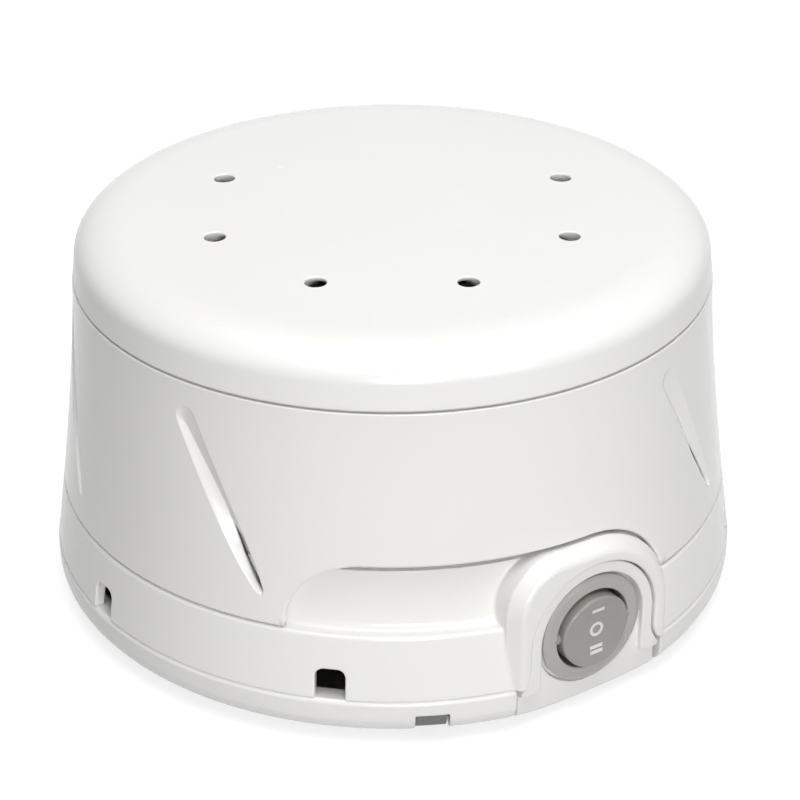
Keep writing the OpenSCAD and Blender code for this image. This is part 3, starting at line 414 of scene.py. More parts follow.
outer_crown, inner_crown = crown(0.0), crown(CAP_WALL)
foot_mid = (CAP_FOOT_R - CAP_WALL / 2, CAP_FOOT_Z)
outer_foot = trace([foot_mid, (CAP_FOOT_R, CAP_FOOT_Z, CAP_FOOT_ROUND), outer_crown[0][0]], 1, 0.6)
inner_foot = trace([foot_mid, (CAP_FOOT_R - CAP_WALL, CAP_FOOT_Z, CAP_FOOT_ROUND_IN), inner_crown[0][0]], -1, 0.6)
cap_wrap = Wrap([(outer_foot, inner_foot, 22), (outer_crown, inner_crown, 200)], 2)
side_low, roll_end = cap_wrap.run[21], cap_wrap.run_at(CAP_FLAT_R, 0)
block_low, block_high = (cap_wrap.run_at(HOLE_RING_R + d, 0) for d in (BLOCK_HALF_R, -BLOCK_HALF_R))
cap_rows = [*np.linspace(0, side_low, 12), *np.linspace(side_low, roll_end, 18)[1:]]
cap_rows += [*np.linspace(roll_end, block_low, 4)[1:-1], *np.linspace(block_low, block_high, 11)]
cap_rows += [*np.linspace(block_high, cap_wrap.run[-1] - CAP_TIP_GAP, 9)[1:]]
low_row = cap_rows.index(block_low)
cap_azs, blocks = [], []
for k, mid in enumerate(PLACES_AZ):
    start, end = mid - BLOCK_HALF_AZ, mid - BLOCK_HALF_AZ + PLACE_STEP
    if k < HOLES:
        blocks.append((len(cap_azs), len(cap_azs) + 12, low_row, low_row + 10))
        cap_azs += [*np.linspace(start, mid + BLOCK_HALF_AZ, 13)[:-1], *np.linspace(mid + BLOCK_HALF_AZ, end, 13)[:-1]]
    else:
        cap_azs += [*np.linspace(start, end, 19)[:-1]]
cap_faces = [Layout(cap_azs, cap_rows, blocks) for _ in range(2)]
hole_scale, hole_run = math.radians(HOLE_RING_R), cap_wrap.run_at(HOLE_RING_R, 0)
cap_joins = []
for mid, block in zip(PLACES_AZ, blocks):
    turn = np.radians(np.linspace(225, -135, 97))
    circle = np.stack([mid + HOLE_R * np.cos(turn) / hole_scale, hole_run + HOLE_R * np.sin(turn)], 1)
    circle = spread(circle, (0, 0.25, 0.5, 0.75, 1), (10, 12, 10, 12), True)
    rings = [rim(lay, block, circle, hole_scale, True, HOLE_SOFT) for lay in cap_faces]
    cap_joins.append((*rings, True, None))
for lay in cap_faces:
    tip = lay.add([0.0], [cap_wrap.run[-1]])[0]
    last = len(cap_rows) - 1
    lay.quads += [(lay.corner(i, last), lay.corner(i + 1, last), tip) for i in range(lay.n)]


def group(name, colours, values):
    """A shader node group that makes a colour, roughness and height from named colours and values."""
    tree = bpy.data.node_groups.new(name, "ShaderNodeTree")
    for way, labels, kind in (
        ("INPUT", colours, "NodeSocketColor"), ("INPUT", values, "NodeSocketFloat"),
        ("OUTPUT", ["Colour"], "NodeSocketColor"), ("OUTPUT", ["Roughness", "Height"], "NodeSocketFloat"),
    ):
        for label in labels:
            tree.interface.new_socket(name=label, in_out=way, socket_type=kind)
    return tree, tree.nodes.new("NodeGroupInput").outputs, tree.nodes.new("NodeGroupOutput").inputs


def own_place(tree):
    """The piece's own coordinates, in metres."""
    return tree.nodes.new("ShaderNodeTexCoord").outputs["Object"]


def split_up(source):
    """The Z part of a direction or place."""
    node = source.id_data.nodes.new("ShaderNodeSeparateXYZ")
    source.id_data.links.new(source, node.inputs[0])
    return node.outputs["Z"]


def noise(tree, scale, detail=3.0, rough=0.5, stretch=None):
    """Noise over the piece's own coordinates, by metres."""
    source = own_place(tree)
    if stretch:
        bend = tree.nodes.new("ShaderNodeMapping")
        bend.inputs["Scale"].default_value = stretch
        tree.links.new(source, bend.inputs["Vector"])
        source = bend.outputs["Vector"]
    tex = tree.nodes.new("ShaderNodeTexNoise")
    for label, v in (("Scale", scale), ("Detail", detail), ("Roughness", rough)):
        tex.inputs[label].default_value = v
    tree.links.new(source, tex.inputs["Vector"])
    return tex.outputs["Fac"]


def times(a, b):
    """Product of sockets or numbers."""
    return maths("MULTIPLY", a, b)


def plus(a, b):
    """Sum of sockets or numbers."""
    return maths("ADD", a, b)


def blend_colours(share, a, b):
    """Mix of two colours, each a socket or four numbers."""
    tree = share.id_data
    node = tree.nodes.new("ShaderNodeMix")
    node.data_type = "RGBA"
    for socket, v in ((node.inputs[0], share), (node.inputs[6], a), (node.inputs[7], b)):
        if hasattr(v, "is_output"):
            tree.links.new(v, socket)
        else:
            socket.default_value = v
    return node.outputs[2]


def banded(value, low, high):
    """0 below low, 1 above high, smooth between."""
    node = value.id_data.nodes.new("ShaderNodeMapRange")
    node.interpolation_type = "SMOOTHSTEP"
    node.inputs["From Min"].default_value, node.inputs["From Max"].default_value = low, high
    value.id_data.links.new(value, node.inputs["Value"])
    return node.outputs["Result"]


# Moulded skin: a slow flow mottle, fine orange peel, hairline rubbing and a little dust on faces that look up
t, given, made = group("moulded_skin", ["Colour", "Flow Colour"], ["Mottle", "Roughness", "Rubbing", "Dust"])
skin_tree = t
flow, peel = noise(t, 22, 3, 0.55), noise(t, 520, 2, 0.5)
hair = banded(noise(t, 260, 6, 0.75, (1.0, 1.0, 0.12)), 0.60, 0.72)
facing_up = banded(split_up(t.nodes.new("ShaderNodeNewGeometry").outputs["Normal"]), 0.75, 1.0)
dust = times(times(facing_up, banded(noise(t, 1500, 5, 0.7), 0.52, 0.75)), given["Dust"])
toned = blend_colours(times(banded(flow, 0.35, 0.7), given["Mottle"]), given["Colour"], given["Flow Colour"])
t.links.new(blend_colours(dust, toned, (0.62, 0.60, 0.57, 1)), made["Colour"])
rough = plus(given["Roughness"], plus(times(hair, given["Rubbing"]), times(dust, 0.5)))
t.links.new(plus(rough, times(flow, 0.03)), made["Roughness"])
t.links.new(plus(peel, times(flow, 1.5)), made["Height"])


def finish_with(name, tree, settings, bump, metallic=0.0):
    """A material whose colour, roughness and bump come from a group with its own values."""
    m = bpy.data.materials.new(name)
    m.use_nodes = True
    nt = m.node_tree
    shader = nt.nodes["Principled BSDF"].inputs
    use = nt.nodes.new("ShaderNodeGroup")
    use.node_tree = tree
    for label, v in settings.items():
        use.inputs[label].default_value = (*v, 1) if isinstance(v, tuple) else v
    relief = nt.nodes.new("ShaderNodeBump")
    relief.inputs["Distance"].default_value = bump
    nt.links.new(use.outputs["Colour"], shader["Base Color"])
    nt.links.new(use.outputs["Roughness"], shader["Roughness"])
    nt.links.new(use.outputs["Height"], relief.inputs["Height"])
    nt.links.new(relief.outputs["Normal"], shader["Normal"])
    shader["Metallic"].default_value = metallic
    return m


def moulded(name, colour, flow_colour, rough, mottle=0.5, rubbing=0.02, dust=0.15, bump=2.5e-6):
    """Injection-moulded plastic."""
    values = {"Colour": colour, "Flow Colour": flow_colour, "Mottle": mottle, "Roughness": rough}
    return finish_with(name, skin_tree, values | {"Rubbing": rubbing, "Dust": dust}, bump)


cap_white = moulded("cap_white", (0.885, 0.880, 0.864), (0.86, 0.853, 0.83), 0.20, 0.5, 0.06)
piece("top_cap_moulding", both_faces(cap_wrap, cap_faces, cap_joins), "cap", cap_white, "top_cap")

# ---- Outer shell ----
# The same gloss plastic, flared to the foot. Seven leaning grooves with a slit at their lower end let the sound
# out, and a window leaves room for the switch while the shell is turned by hand.

SHELL_LOW, SHELL_HIGH, SHELL_WALL, SHELL_HUB_R, SHELL_FLANGE, SHELL_MID_R = 24.0, 69.8, 2.2, 59.0, 2.0, 70.0
SHELL_TOP_R, SHELL_SPREAD, SHELL_FROM, SHELL_SPAN, SHELL_POWER, SHELL_SPLIT = 66.2, 4.85, 70, 46.3, 1.35, 46
GROOVE_AZ, GROOVE_LEFT, GROOVE_RIGHT = [-28.4 + 45 * k for k in (0, 2, 3, 4, 5, 6, 7)], 10.6, 10.3
GROOVE_LEAN, GROOVE_TOP_Z, GROOVE_TIP_Z, GROOVE_R, GROOVE_DEEP = 7.6, 62.4, 29.7, 2.3, 1.5
GROOVE_ROWS_Z, SLIT_FROM, SLIT_TO, SLIT_HALF = (27.0, 46.0, 66.0), 0.56, 0.99, 0.72
WINDOW_AZ, WINDOW_Z, WINDOW_CORNER, WINDOW_R = -17.1, 38.25, (15.5, 13.0), 71.05
WINDOW_SOFT, WINDOW_SOFT_IN, LEFT_SIDE_STEPS, CORNER_STEPS, POD_SIDE_STEPS = 0.65, 0.4, 5, 40, 50
POD_AZ, SWITCH_Z = 33.5, 17.9


def shell_r(z):
    """Radius of the shell's outside at a height."""
    return SHELL_TOP_R + SHELL_SPREAD * np.maximum(0, (SHELL_FROM - z) / SHELL_SPAN) ** SHELL_POWER


def flare(z_from, z_to, inset=0.0):
    """The flared wall between two heights, outside or inset, with its normals."""
    z = np.linspace(z_from, z_to, 40)
    return sided(np.stack([shell_r(z) - inset, z], 1), -1 if inset else 1)


under = SHELL_HIGH - SHELL_FLANGE
low_out, low_in = flare(SHELL_LOW + 0.7, SHELL_SPLIT), flare(SHELL_LOW + 1.1, SHELL_SPLIT, SHELL_WALL)
high_out, high_in = flare(SHELL_SPLIT, SHELL_HIGH - 0.5), flare(SHELL_SPLIT, under - 0.4, SHELL_WALL)
r_low, r_high = shell_r(SHELL_LOW), shell_r(SHELL_HIGH)
low_mid, high_mid = (r_low - SHELL_WALL / 2, SHELL_LOW), (r_high - SHELL_WALL / 2, SHELL_HIGH)
flange = [
    (shell_r(under) - SHELL_WALL, under, 0.3), (SHELL_HUB_R, under, 0.4), (SHELL_HUB_R, SHELL_HIGH, 0.4), high_mid,
]
shell_wrap = Wrap([
    (trace([low_mid, (r_low, SHELL_LOW, 0.6), low_out[0][0]]),
     trace([low_mid, (r_low - SHELL_WALL, SHELL_LOW, 1.0), low_in[0][0]], -1), 14),
    (low_out, low_in, 60),
    (high_out, high_in, 60),
    (trace([high_out[0][-1], (r_high, SHELL_HIGH, 0.22), high_mid]), trace([high_in[0][-1], *flange], -1), 30),
], 3)
foot_run, head_run = (shell_wrap.run[shell_wrap.starts[k] - 1] for k in (1, 3))
low_run, mid_run, high_run = (shell_wrap.run_at(z) for z in GROOVE_ROWS_Z)
shell_rows = [*np.linspace(0, foot_run, 8), *np.linspace(low_run, mid_run, 12), *np.linspace(mid_run, high_run, 12)[1:]]
shell_rows += [(high_run + head_run) / 2, *np.linspace(head_run, shell_wrap.run[-1], 8)]
low_row, mid_row, high_row = 8, 19, 30
shell_azs, groove_blocks = [], []
for k, mid in enumerate(GROOVE_AZ):
    groove_blocks.append((len(shell_azs), len(shell_azs) + 16, low_row, high_row))
    shell_azs += [*np.linspace(mid - GROOVE_LEFT, mid + GROOVE_RIGHT, 17)[:-1]]
    next_mid = GROOVE_AZ[k + 1] if k < 6 else GROOVE_AZ[0] + 360
    steps = 9 if k else 30
    if k == 0:
        window_block = (len(shell_azs), len(shell_azs) + steps, 0, mid_row)
    shell_azs += [*np.linspace(mid + GROOVE_RIGHT, next_mid - GROOVE_LEFT, steps + 1)[:-1]]
shell_faces = [Layout(shell_azs, shell_rows, groove_blocks + [window_block]) for _ in range(2)]

# the window's outline: up its left side, round the corner, along the top and down round the pod
wide, high = WINDOW_CORNER
wide_az, ring_r = math.degrees(wide / WINDOW_R), WINDOW_Z - SWITCH_Z
corner_az, top_run = WINDOW_AZ + wide_az, shell_wrap.run_at(WINDOW_Z)
line = [(WINDOW_AZ, run) for run in np.linspace(0, shell_wrap.run_at(WINDOW_Z - high), LEFT_SIDE_STEPS + 1)[:-1]]
for a in np.radians(np.linspace(0, 90, CORNER_STEPS)):
    line.append((corner_az - wide_az * math.cos(a), shell_wrap.run_at(WINDOW_Z - high + high * math.sin(a))))
line += [(az, top_run) for az in np.linspace(corner_az, POD_AZ, 30)[1:-1]]
foot_angle = math.asin((SHELL_LOW + 0.7 - SWITCH_Z) / ring_r)
for a in np.linspace(math.pi / 2, foot_angle, POD_SIDE_STEPS):
    z = SWITCH_Z + ring_r * math.sin(a)
    line.append((POD_AZ + math.degrees(math.asin(ring_r * math.cos(a) / shell_r(z))), shell_wrap.run_at(z)))
line += [(line[-1][0] + 0.08, run) for run in np.linspace(foot_run, 0, 5)[1:]]
line = np.array(line)
shell_scale = math.radians(SHELL_MID_R)
rows = np.array(shell_rows[: mid_row + 1])
left_top, right_top = (shell_wrap.run_at(z) for z in (WINDOW_Z - 0.5, SWITCH_Z + ring_r * 0.87))
rising, falling = line[: LEFT_SIDE_STEPS + CORNER_STEPS], line[: -POD_SIDE_STEPS - 5 : -1]
left = [(np.interp(run, rising[:, 1], rising[:, 0]), run) for run in rows * left_top / rows[-1]]
right = [(np.interp(run, falling[:, 1], falling[:, 0]), run) for run in rows[::-1] * right_top / rows[-1]]
over = [p for p in line if left[-1][0] < p[0] < right[0][0] and p[1] > right_top]
middle = spread(np.array([left[-1], *over, right[0]]) * [shell_scale, 1], (0, 1), (30,), False) / [shell_scale, 1]
outline = np.array([*left, *middle[1:-1], *right])
window_rings = [
    rim(lay, window_block, outline, shell_scale, False, soft, (0.35, 0.7), 1.4)
    for lay, soft in zip(shell_faces, (WINDOW_SOFT, WINDOW_SOFT_IN))
]
shell_joins = [(*window_rings, False, None)]

# places round a groove, clockwise from a block's low left corner: (station, side) along its middle line from the
# head's centre (0) to the tip (1), or (angle, 0) round its head
stations = [*np.linspace(0, 0.97, 31), 1.0]
groove_path = [(s, -1) for s in stations[16:0:-1]] + [(a, 0) for a in np.linspace(0, 180, 15)[:-1]]
groove_path += [(s, 1) for s in stations] + [(s, -1) for s in stations[30:16:-1]]


def groove_rings():
    """Outline, crease and depth of a groove in flat millimetres about its middle azimuth, and where its slit is."""
    top, tip = (
        np.array([hand * GROOVE_LEAN * shell_scale, shell_wrap.run_at(z)])
        for hand, z in ((-1, GROOVE_TOP_Z), (1, GROOVE_TIP_Z))
    )
    along = unit(tip - top)
    across = np.array([-along[1], along[0]])
    edge, crease, deep, open_by = [], [], [], []
    for place, hand in groove_path:
        station = place if hand else 0.0
        half = GROOVE_R * np.interp(station, (0, 0.6, 0.8, 0.92, 1.0), (1.0, 0.90, 0.70, 0.45, 0.2))
        if hand:
            edge.append(top + (tip - top) * station + across * hand * half * (station < 1))
        else:
            a = math.radians(place)
            edge.append(top + GROOVE_R * (-across * math.cos(a) - along * math.sin(a)))
        ramp = min(1, max(0, (station - SLIT_FROM) / 0.20)) * min(1, max(0, (SLIT_TO - station) / 0.03))
        slit = min(SLIT_HALF, 0.62 * half) * ramp
        open_by.append(slit > 0)
        lean_by = 0.1 * half - 1.6 * max(0, 1 - station / 0.5) ** 1.5
        crease.append(top + (tip - top) * max(station, 0.02) + across * (lean_by + hand * slit))
        deep.append(GROOVE_DEEP * np.interp(station, (0, 0.5, 0.75, 0.92, 1.0), (0.55, 1.0, 0.95, 0.6, 0.35)))
    return np.array(edge), np.array(crease), np.array(deep), open_by


edge, crease, deep, open_by = groove_rings()
out, unset = away(edge, 1, True), (np.nan, np.nan, np.nan)
for mid, block in zip(GROOVE_AZ, groove_blocks):
    place = lambda p: p / [shell_scale, 1] + [mid, 0]
    last_rings = []
    for lay, start in zip(shell_faces, (edge + out * 0.7, crease)):
        last, flat = lay.edge(block, False)
        flat = (flat - [mid, 0]) * [shell_scale, 1]
        for share in (0.35, 0.65, 0.86, 1.0):
            last = lay.ring(last, True, place(flat + (start - flat) * share))
        if lay is shell_faces[0]:
            for off, dip, lean in ((0.32, 0.0, 0.0), (0.14, 0.03, 0.35), (0.0, 0.10, None)):
                upright = np.full(len(out), math.sqrt(1 - (lean or 0) ** 2))
                tilt = unset if lean is None else np.column_stack([-out * lean, upright])
                last = lay.ring(last, True, place(edge + out * off), np.minimum(dip, deep), tilt)
            for share in (0.25, 0.5, 0.75, 0.93, 1.0):
                dip = 0.1 + np.maximum(deep - 0.1, 0) * share**0.9
                last = lay.ring(last, True, place(edge + (crease - edge) * share), dip, unset)
        last_rings.append(last)
    shell_joins.append((*last_rings, True, open_by))
shell_mesh = both_faces(shell_wrap, shell_faces, shell_joins)
shell_white = moulded("shell_white", (0.89, 0.883, 0.864), (0.865, 0.856, 0.834), 0.17)
piece("outer_shell_moulding", shell_mesh, "collar", shell_white, "outer_shell")

# ---- Base housing ----
# One moulding: the fixed band with its air notches, the ledge, the inner wall seen through the shell's window, the
# deck under the drum and the rounded pod round the switch. Four screws hold it down on the bottom plate.

SEAM_Z, LEDGE_Z, DECK_Z, BAND_R, LEDGE_R, RECESS, WALL = 9.9, 23.7, 44.0, 73.0, 71.05, 2.6, 2.2
POD_R, POD_RIM_R, POD_DRAFT, POD_CORNER, POD_FRONT, POD_BACK = 19.6, 17.6, 0.667, 8.5, 72.1, 63.1
POD_ROUND, POD_BLEND, POD_FOOT, POD_REACH, POD_SPAN_AZ = 0.6, 0.4, 10.05, 26, 23.5
PANEL_R, PANEL_FLARE, PANEL_GAP, PANEL_BACK, SHOULDER_R, POCKET_ROUND = 14.9, 2.1, 0.34, 68.2, 13.0, 0.6
FLARE_LOW, FLARE_TOP, BREAK_HALF = 8.5, 13.2, 17.9
NOTCH_AZ = [-9.7 + 45 * k for k in (0, 2, 3, 4, 6, 7)]
NOTCH_HALF, NOTCH_TOP, NOTCH_CORNER, NOTCH_ROUND = 3.0, 16.4, 1.8, 0.35
GLAND_AZ, GLAND_Z, GLAND_FLAT, GLAND_PAD_R, GLAND_POCKET_R, GLAND_BARREL_R = 213.5, 16.8, 70.925, 6.4, 6.7, 4.95
GLAND_PAD_DEEP, GLAND_ROUND, GLAND_REACH, NOTCH_REACH_AZ, NOTCH_FROM_R = 5, 0.3, 12, 8, 60
INLET_R, DECK_T, STEP_Z, STEP_IN, BAND_MID_R, UNDER_LEDGE_Z = 30.0, 2.2, 36.2, 1.2, 71.9, 21.5
FAR, FINE_AZ, COARSE_R, GRID_LOW, GRID_HIGH, GRID_IN = 9.0, 0.27, 4.4, 9.45, 44.5, 29.3


def profile_distance(r, z, loop):
    """Distance from points to a closed profile, negative inside it."""
    r, z = np.broadcast_arrays(r, z)
    x, y = r.ravel(), z.ravel()
    best, inside = np.full(x.shape, 1e9), np.zeros(x.shape, bool)
    for a, b in zip(loop, np.roll(loop, -1, 0)):
        ex, ey = b - a
        wx, wy = x - a[0], y - a[1]
        t = np.clip((wx * ex + wy * ey) / max(ex * ex + ey * ey, 1e-12), 0, 1)
        best = np.minimum(best, (wx - t * ex) ** 2 + (wy - t * ey) ** 2)
        if ey:
            inside ^= ((a[1] <= y) != (b[1] <= y)) & (x < a[0] + wy * ex / ey)
    return (np.where(inside, -1, 1) * np.sqrt(best)).reshape(r.shape)


def joined(a, b, soft):
    """Both shapes as one, with a fillet where they meet."""
    return np.maximum(soft, np.minimum(a, b)) - np.hypot(np.maximum(soft - a, 0), np.maximum(soft - b, 0))


def kept_in(a, b, soft):
    """What two shapes share, with its new edge rounded."""
    return np.minimum(-soft, np.maximum(a, b)) + np.hypot(np.maximum(a + soft, 0), np.maximum(b + soft, 0))


def cut_by(a, b, soft):
    """The first shape without the second, with its new edge rounded."""
    return kept_in(a, -b, soft)


def lines(low, high, coarse, fine_bands=()):
    """Grid lines from low to high: coarse steps, with finer ones in each (from, to, step) band."""
    marks = sorted({low, high, *[e for band in fine_bands for e in band[:2] if low < e < high]})
    out = []
    for a, b in zip(marks, marks[1:]):
        step = min([coarse] + [f[2] for f in fine_bands if f[0] <= (a + b) / 2 <= f[1]])
        out += list(np.linspace(a, b, max(1, round((b - a) / step)) + 1)[:-1])
    return np.array(out + [high])


def round_body(az, z, r):
    """Places and directions of (azimuth, height, radius), and how far one unit of each goes."""
    a = np.radians(az)
    s, c, o = np.sin(a), np.cos(a), np.zeros_like(a)
    ways = (np.stack([c, s, o], 1), np.stack([o, o, o + 1], 1), np.stack([s, -c, o], 1))
    return np.stack([r * s, -r * c, z], 1), ways, (np.maximum(r, 1.0) * math.pi / 180, 1 + o, 1 + o)


def outward(az):
    """Sideways, up and straight out on the side that faces an azimuth."""
    s, c = math.sin(math.radians(az)), math.cos(math.radians(az))
    return np.array([[c, s, 0.0], [0, 0, 1.0], [s, -c, 0.0]])


def facing(az):
    """Places and directions of (sideways, height, straight out) on the side that faces an azimuth."""

    def spots(e, z, n):
        ways = outward(az)
        one = np.ones_like(e)
        return np.stack([e, z, n], 1) @ ways, [np.tile(way, (len(e), 1)) for way in ways], (one, one, one)

    return spots


def skin(field, axes, spots, pinned=(), small=0.02, stride=0.25):
    """Quads over the skin of a moulding given by a field (negative inside), each corner pulled onto the skin.
    pinned holds (axis, end) pairs where the skin stops at the grid's own face."""
    u, v, w = axes
    values = np.broadcast_to(field(u[:, None, None], v[None, :, None], w[None, None, :]), (len(u), len(v), len(w)))
    inside = values < 0
    halves = (slice(None, -1), slice(1, None))
    count = sum(inside[halves[i], halves[j], halves[k]].astype(np.int8) for i, j, k in np.ndindex(2, 2, 2))
    cells = np.argwhere((count > 0) & (count < 8))
    ids = np.full(count.shape, -1)
    ids[tuple(cells.T)] = np.arange(len(cells))
    total, hits = np.zeros((len(cells), 3)), np.zeros(len(cells))
    corner = lambda d: values[tuple((cells + d).T)]
    spot = lambda d: np.stack([axes[k][cells[:, k] + d[k]] for k in range(3)], 1)
    for axis, p, q in np.ndindex(3, 2, 2):
        d0, d1 = np.roll([0, p, q], axis), np.roll([1, p, q], axis)
        f0, f1 = corner(d0), corner(d1)
        cross = (f0 < 0) != (f1 < 0)
        t = np.where(cross, f0 / np.where(cross, f0 - f1, 1), 0)[:, None]
        total += np.where(cross[:, None], spot(d0) * (1 - t) + spot(d1) * t, 0)
        hits += cross
    at = total / hits[:, None]
    held = np.zeros((len(cells), 3), bool)
    for axis, end in pinned:
        edge = cells[:, axis] == (len(axes[axis]) - 2 if end else 0)
        at[edge, axis] = axes[axis][-1 if end else 0]
        held[edge, axis] = True

    def slope():
        scale = np.stack(spots(*at.T)[2], 1)
        g = np.zeros_like(at)
        for k in range(3):
            shift = np.zeros_like(at)
            shift[:, k] = small / scale[:, k]
            g[:, k] = (field(*(at + shift).T) - field(*(at - shift).T)) / (2 * small)
        return g, scale

    for _ in range(2):
        g, scale = slope()
        g = np.where(held, 0, g)
        step = field(*at.T)[:, None] * g / np.maximum((g * g).sum(1, keepdims=True), 0.05)
        long = np.linalg.norm(step, axis=1, keepdims=True)
        at -= step * np.minimum(1, stride / np.maximum(long, 1e-9)) / scale
    points, ways, _ = spots(*at.T)
    g, _ = slope()
    normals = unit(sum(g[:, k : k + 1] * ways[k] for k in range(3)))
    faces = []
    for axis in range(3):
        order = (axis, (axis + 1) % 3, (axis + 2) % 3)
        solid, cell = np.transpose(inside, order), np.transpose(ids, order)
        i, j, k = np.nonzero(solid[:-1, 1:-1, 1:-1] != solid[1:, 1:-1, 1:-1])
        j, k = j + 1, k + 1
        quad = np.stack([cell[i, j - 1, k - 1], cell[i, j, k - 1], cell[i, j, k], cell[i, j - 1, k]], 1)
        turned = ~solid[i, j, k]
        quad[turned] = quad[turned][:, ::-1]
        faces += quad.tolist()
    return points, faces, normals


def gathered(parts):
    """Several meshes as one."""
    shifts = np.cumsum([0] + [len(points) for points, _, _ in parts])
    faces = [tuple(i + shift for i in f) for shift, part in zip(shifts, parts) for f in part[1]]
    return np.concatenate([part[0] for part in parts]), faces, np.concatenate([part[2] for part in parts])


def arch(e, z, radius):
    """Distance to a round top on straight legs about the switch's centre."""
    return np.where(z > SWITCH_Z, np.hypot(e, z - SWITCH_Z), np.abs(e) + 0 * z) - radius


def rounded(x, y):
    """Distance to a corner from its rounding's centre."""
    return np.hypot(np.maximum(x, 0), np.maximum(y, 0)) + np.minimum(np.maximum(x, y), 0)


def pod_shape(e, z, radius):
    """Distance to the pod's outline: an arch, with a fuller corner on the side where the window is."""
    full = rounded(-e - POD_CORNER, z - SWITCH_Z - POD_CORNER)
    return np.where(e < 0, full - (radius - POD_CORNER), arch(e, z, radius))


def panel_shape(e, z, grow):
    """Distance to the face panel's outline: an arch whose feet flare out."""
    foot = np.clip((FLARE_TOP - z) / (FLARE_TOP - FLARE_LOW), 0, 1) ** 1.6
    return arch(e, z, PANEL_R + grow) - PANEL_FLARE * foot


def side_on(az, r, middle):
    """Sideways and straight-out distances of (azimuth, radius) on the side that faces the middle azimuth."""
    a = np.radians(az - middle)
    return r * np.sin(a), r * np.cos(a)


wall_r = lambda z, inset=0.0: shell_r(z) - RECESS - inset
housing_profile, _ = trace([
    (BAND_MID_R, SEAM_Z), (BAND_R, SEAM_Z, 0.4), (LEDGE_R, LEDGE_Z, 0.8), (wall_r(LEDGE_Z), LEDGE_Z, 1.8),
    *[(wall_r(z), z, 30.0) for z in (26, 30, 34)], (wall_r(STEP_Z), STEP_Z, 0.2),
    (wall_r(STEP_Z, STEP_IN), STEP_Z, 0.2), *[(wall_r(z, STEP_IN), z, 1.5) for z in (39, 42)],
    (wall_r(DECK_Z, STEP_IN), DECK_Z, 0.6), (INLET_R, DECK_Z, 0.7), (INLET_R, DECK_Z - DECK_T, 0.7),
    *[(wall_r(z, WALL), z, 1.5) for z in (41.8, 38, 34, 30, 26)],
    (wall_r(UNDER_LEDGE_Z, WALL), UNDER_LEDGE_Z, 0.5), (LEDGE_R - WALL, UNDER_LEDGE_Z, 0.4),
    (BAND_R - WALL, SEAM_Z, 0.3), (BAND_MID_R, SEAM_Z),
], step=50)


def housing_field(az, z, r):
    """The housing's plastic."""
    body = profile_distance(r, z, housing_profile)
    e, n = side_on(az, r, POD_AZ)
    near = (n > 0) & (np.abs(e) < POD_REACH)
    if near.any():
        slant = (pod_shape(e, z, POD_RIM_R) - POD_DRAFT * (POD_FRONT - n)) / math.hypot(1, POD_DRAFT)
        pod = kept_in(np.maximum(pod_shape(e, z, POD_R), slant), n - POD_FRONT, POD_ROUND)
        pod = np.maximum(pod, np.maximum(POD_BACK - n, POD_FOOT - z))
        body = joined(body, np.where(near, pod, FAR), POD_BLEND)
        room = np.maximum(panel_shape(e, z, PANEL_GAP), PANEL_BACK - n)
        body = cut_by(body, np.where(near, room, FAR), POCKET_ROUND)
        body = np.maximum(body, -np.where(near, arch(e, z, SHOULDER_R), FAR))
    for middle in NOTCH_AZ:
        turn = (az - middle + 180) % 360 - 180
        near = (np.abs(turn) < NOTCH_REACH_AZ) & (r > NOTCH_FROM_R)
        if near.any():
            e, n = side_on(turn, r, 0)
            notch = rounded(np.abs(e) - NOTCH_HALF + NOTCH_CORNER, z - NOTCH_TOP + NOTCH_CORNER) - NOTCH_CORNER
            body = np.where(near, cut_by(body, np.where(near, notch, FAR), NOTCH_ROUND), body)
    e, n = side_on(az, r, GLAND_AZ)
    near = (n > 0) & (np.abs(e) < GLAND_REACH)
    if near.any():
        ring = np.hypot(e, z - GLAND_Z)
        pad = np.maximum(np.maximum(ring - GLAND_PAD_R, GLAND_FLAT - GLAND_PAD_DEEP - n), n - GLAND_FLAT)
        body = np.where(near, np.minimum(body, pad), body)
        body = np.where(near, cut_by(body, np.maximum(ring - GLAND_POCKET_R, GLAND_FLAT - n), GLAND_ROUND), body)
        body = np.where(near, np.maximum(body, GLAND_BARREL_R - ring), body)
    return body


POD_FROM, POD_TO = POD_AZ - POD_SPAN_AZ, POD_AZ + POD_SPAN_AZ
pod_axes = (
    lines(POD_FROM, POD_TO, FINE_AZ),
    lines(GRID_LOW, GRID_HIGH, 0.34, [(SEAM_Z + 0.6, 13, 0.4), (38.2, 41.5, 1.1)]),
    lines(GRID_IN, 74.9, COARSE_R, [(62.4, 74.9, 0.32)]),
)
notch_bands = [(a % 360 - 3.8, a % 360 + 3.8, FINE_AZ) for a in NOTCH_AZ]
rest_axes = (
    lines(POD_TO, POD_FROM + 360, 2.6, [*notch_bands, (206.2, 220.8, 0.33)]),
    lines(GRID_LOW, GRID_HIGH, 1.5, [(GRID_LOW, 24.7, 0.36), (35.5, 37.0, 0.3), (41.3, GRID_HIGH, 0.4)]),
    lines(GRID_IN, 73.6, COARSE_R, [(60.5, 73.6, 0.36)]),
)
sides = [(0, 0), (0, 1)]
housing_mesh = gathered([skin(housing_field, axes, round_body, sides) for axes in (pod_axes, rest_axes)])
housing_white = moulded("housing_white", (0.905, 0.898, 0.88), (0.88, 0.872, 0.85), 0.20)
piece("base_housing_moulding", housing_mesh, "base", housing_white, "base_housing")

# ---- Bottom plate ----
# A shallow moulded dish whose rolled lip is the widest place. Slots in the lip show the feet's tongues, and the lip
# is broken where the switch panel comes down.

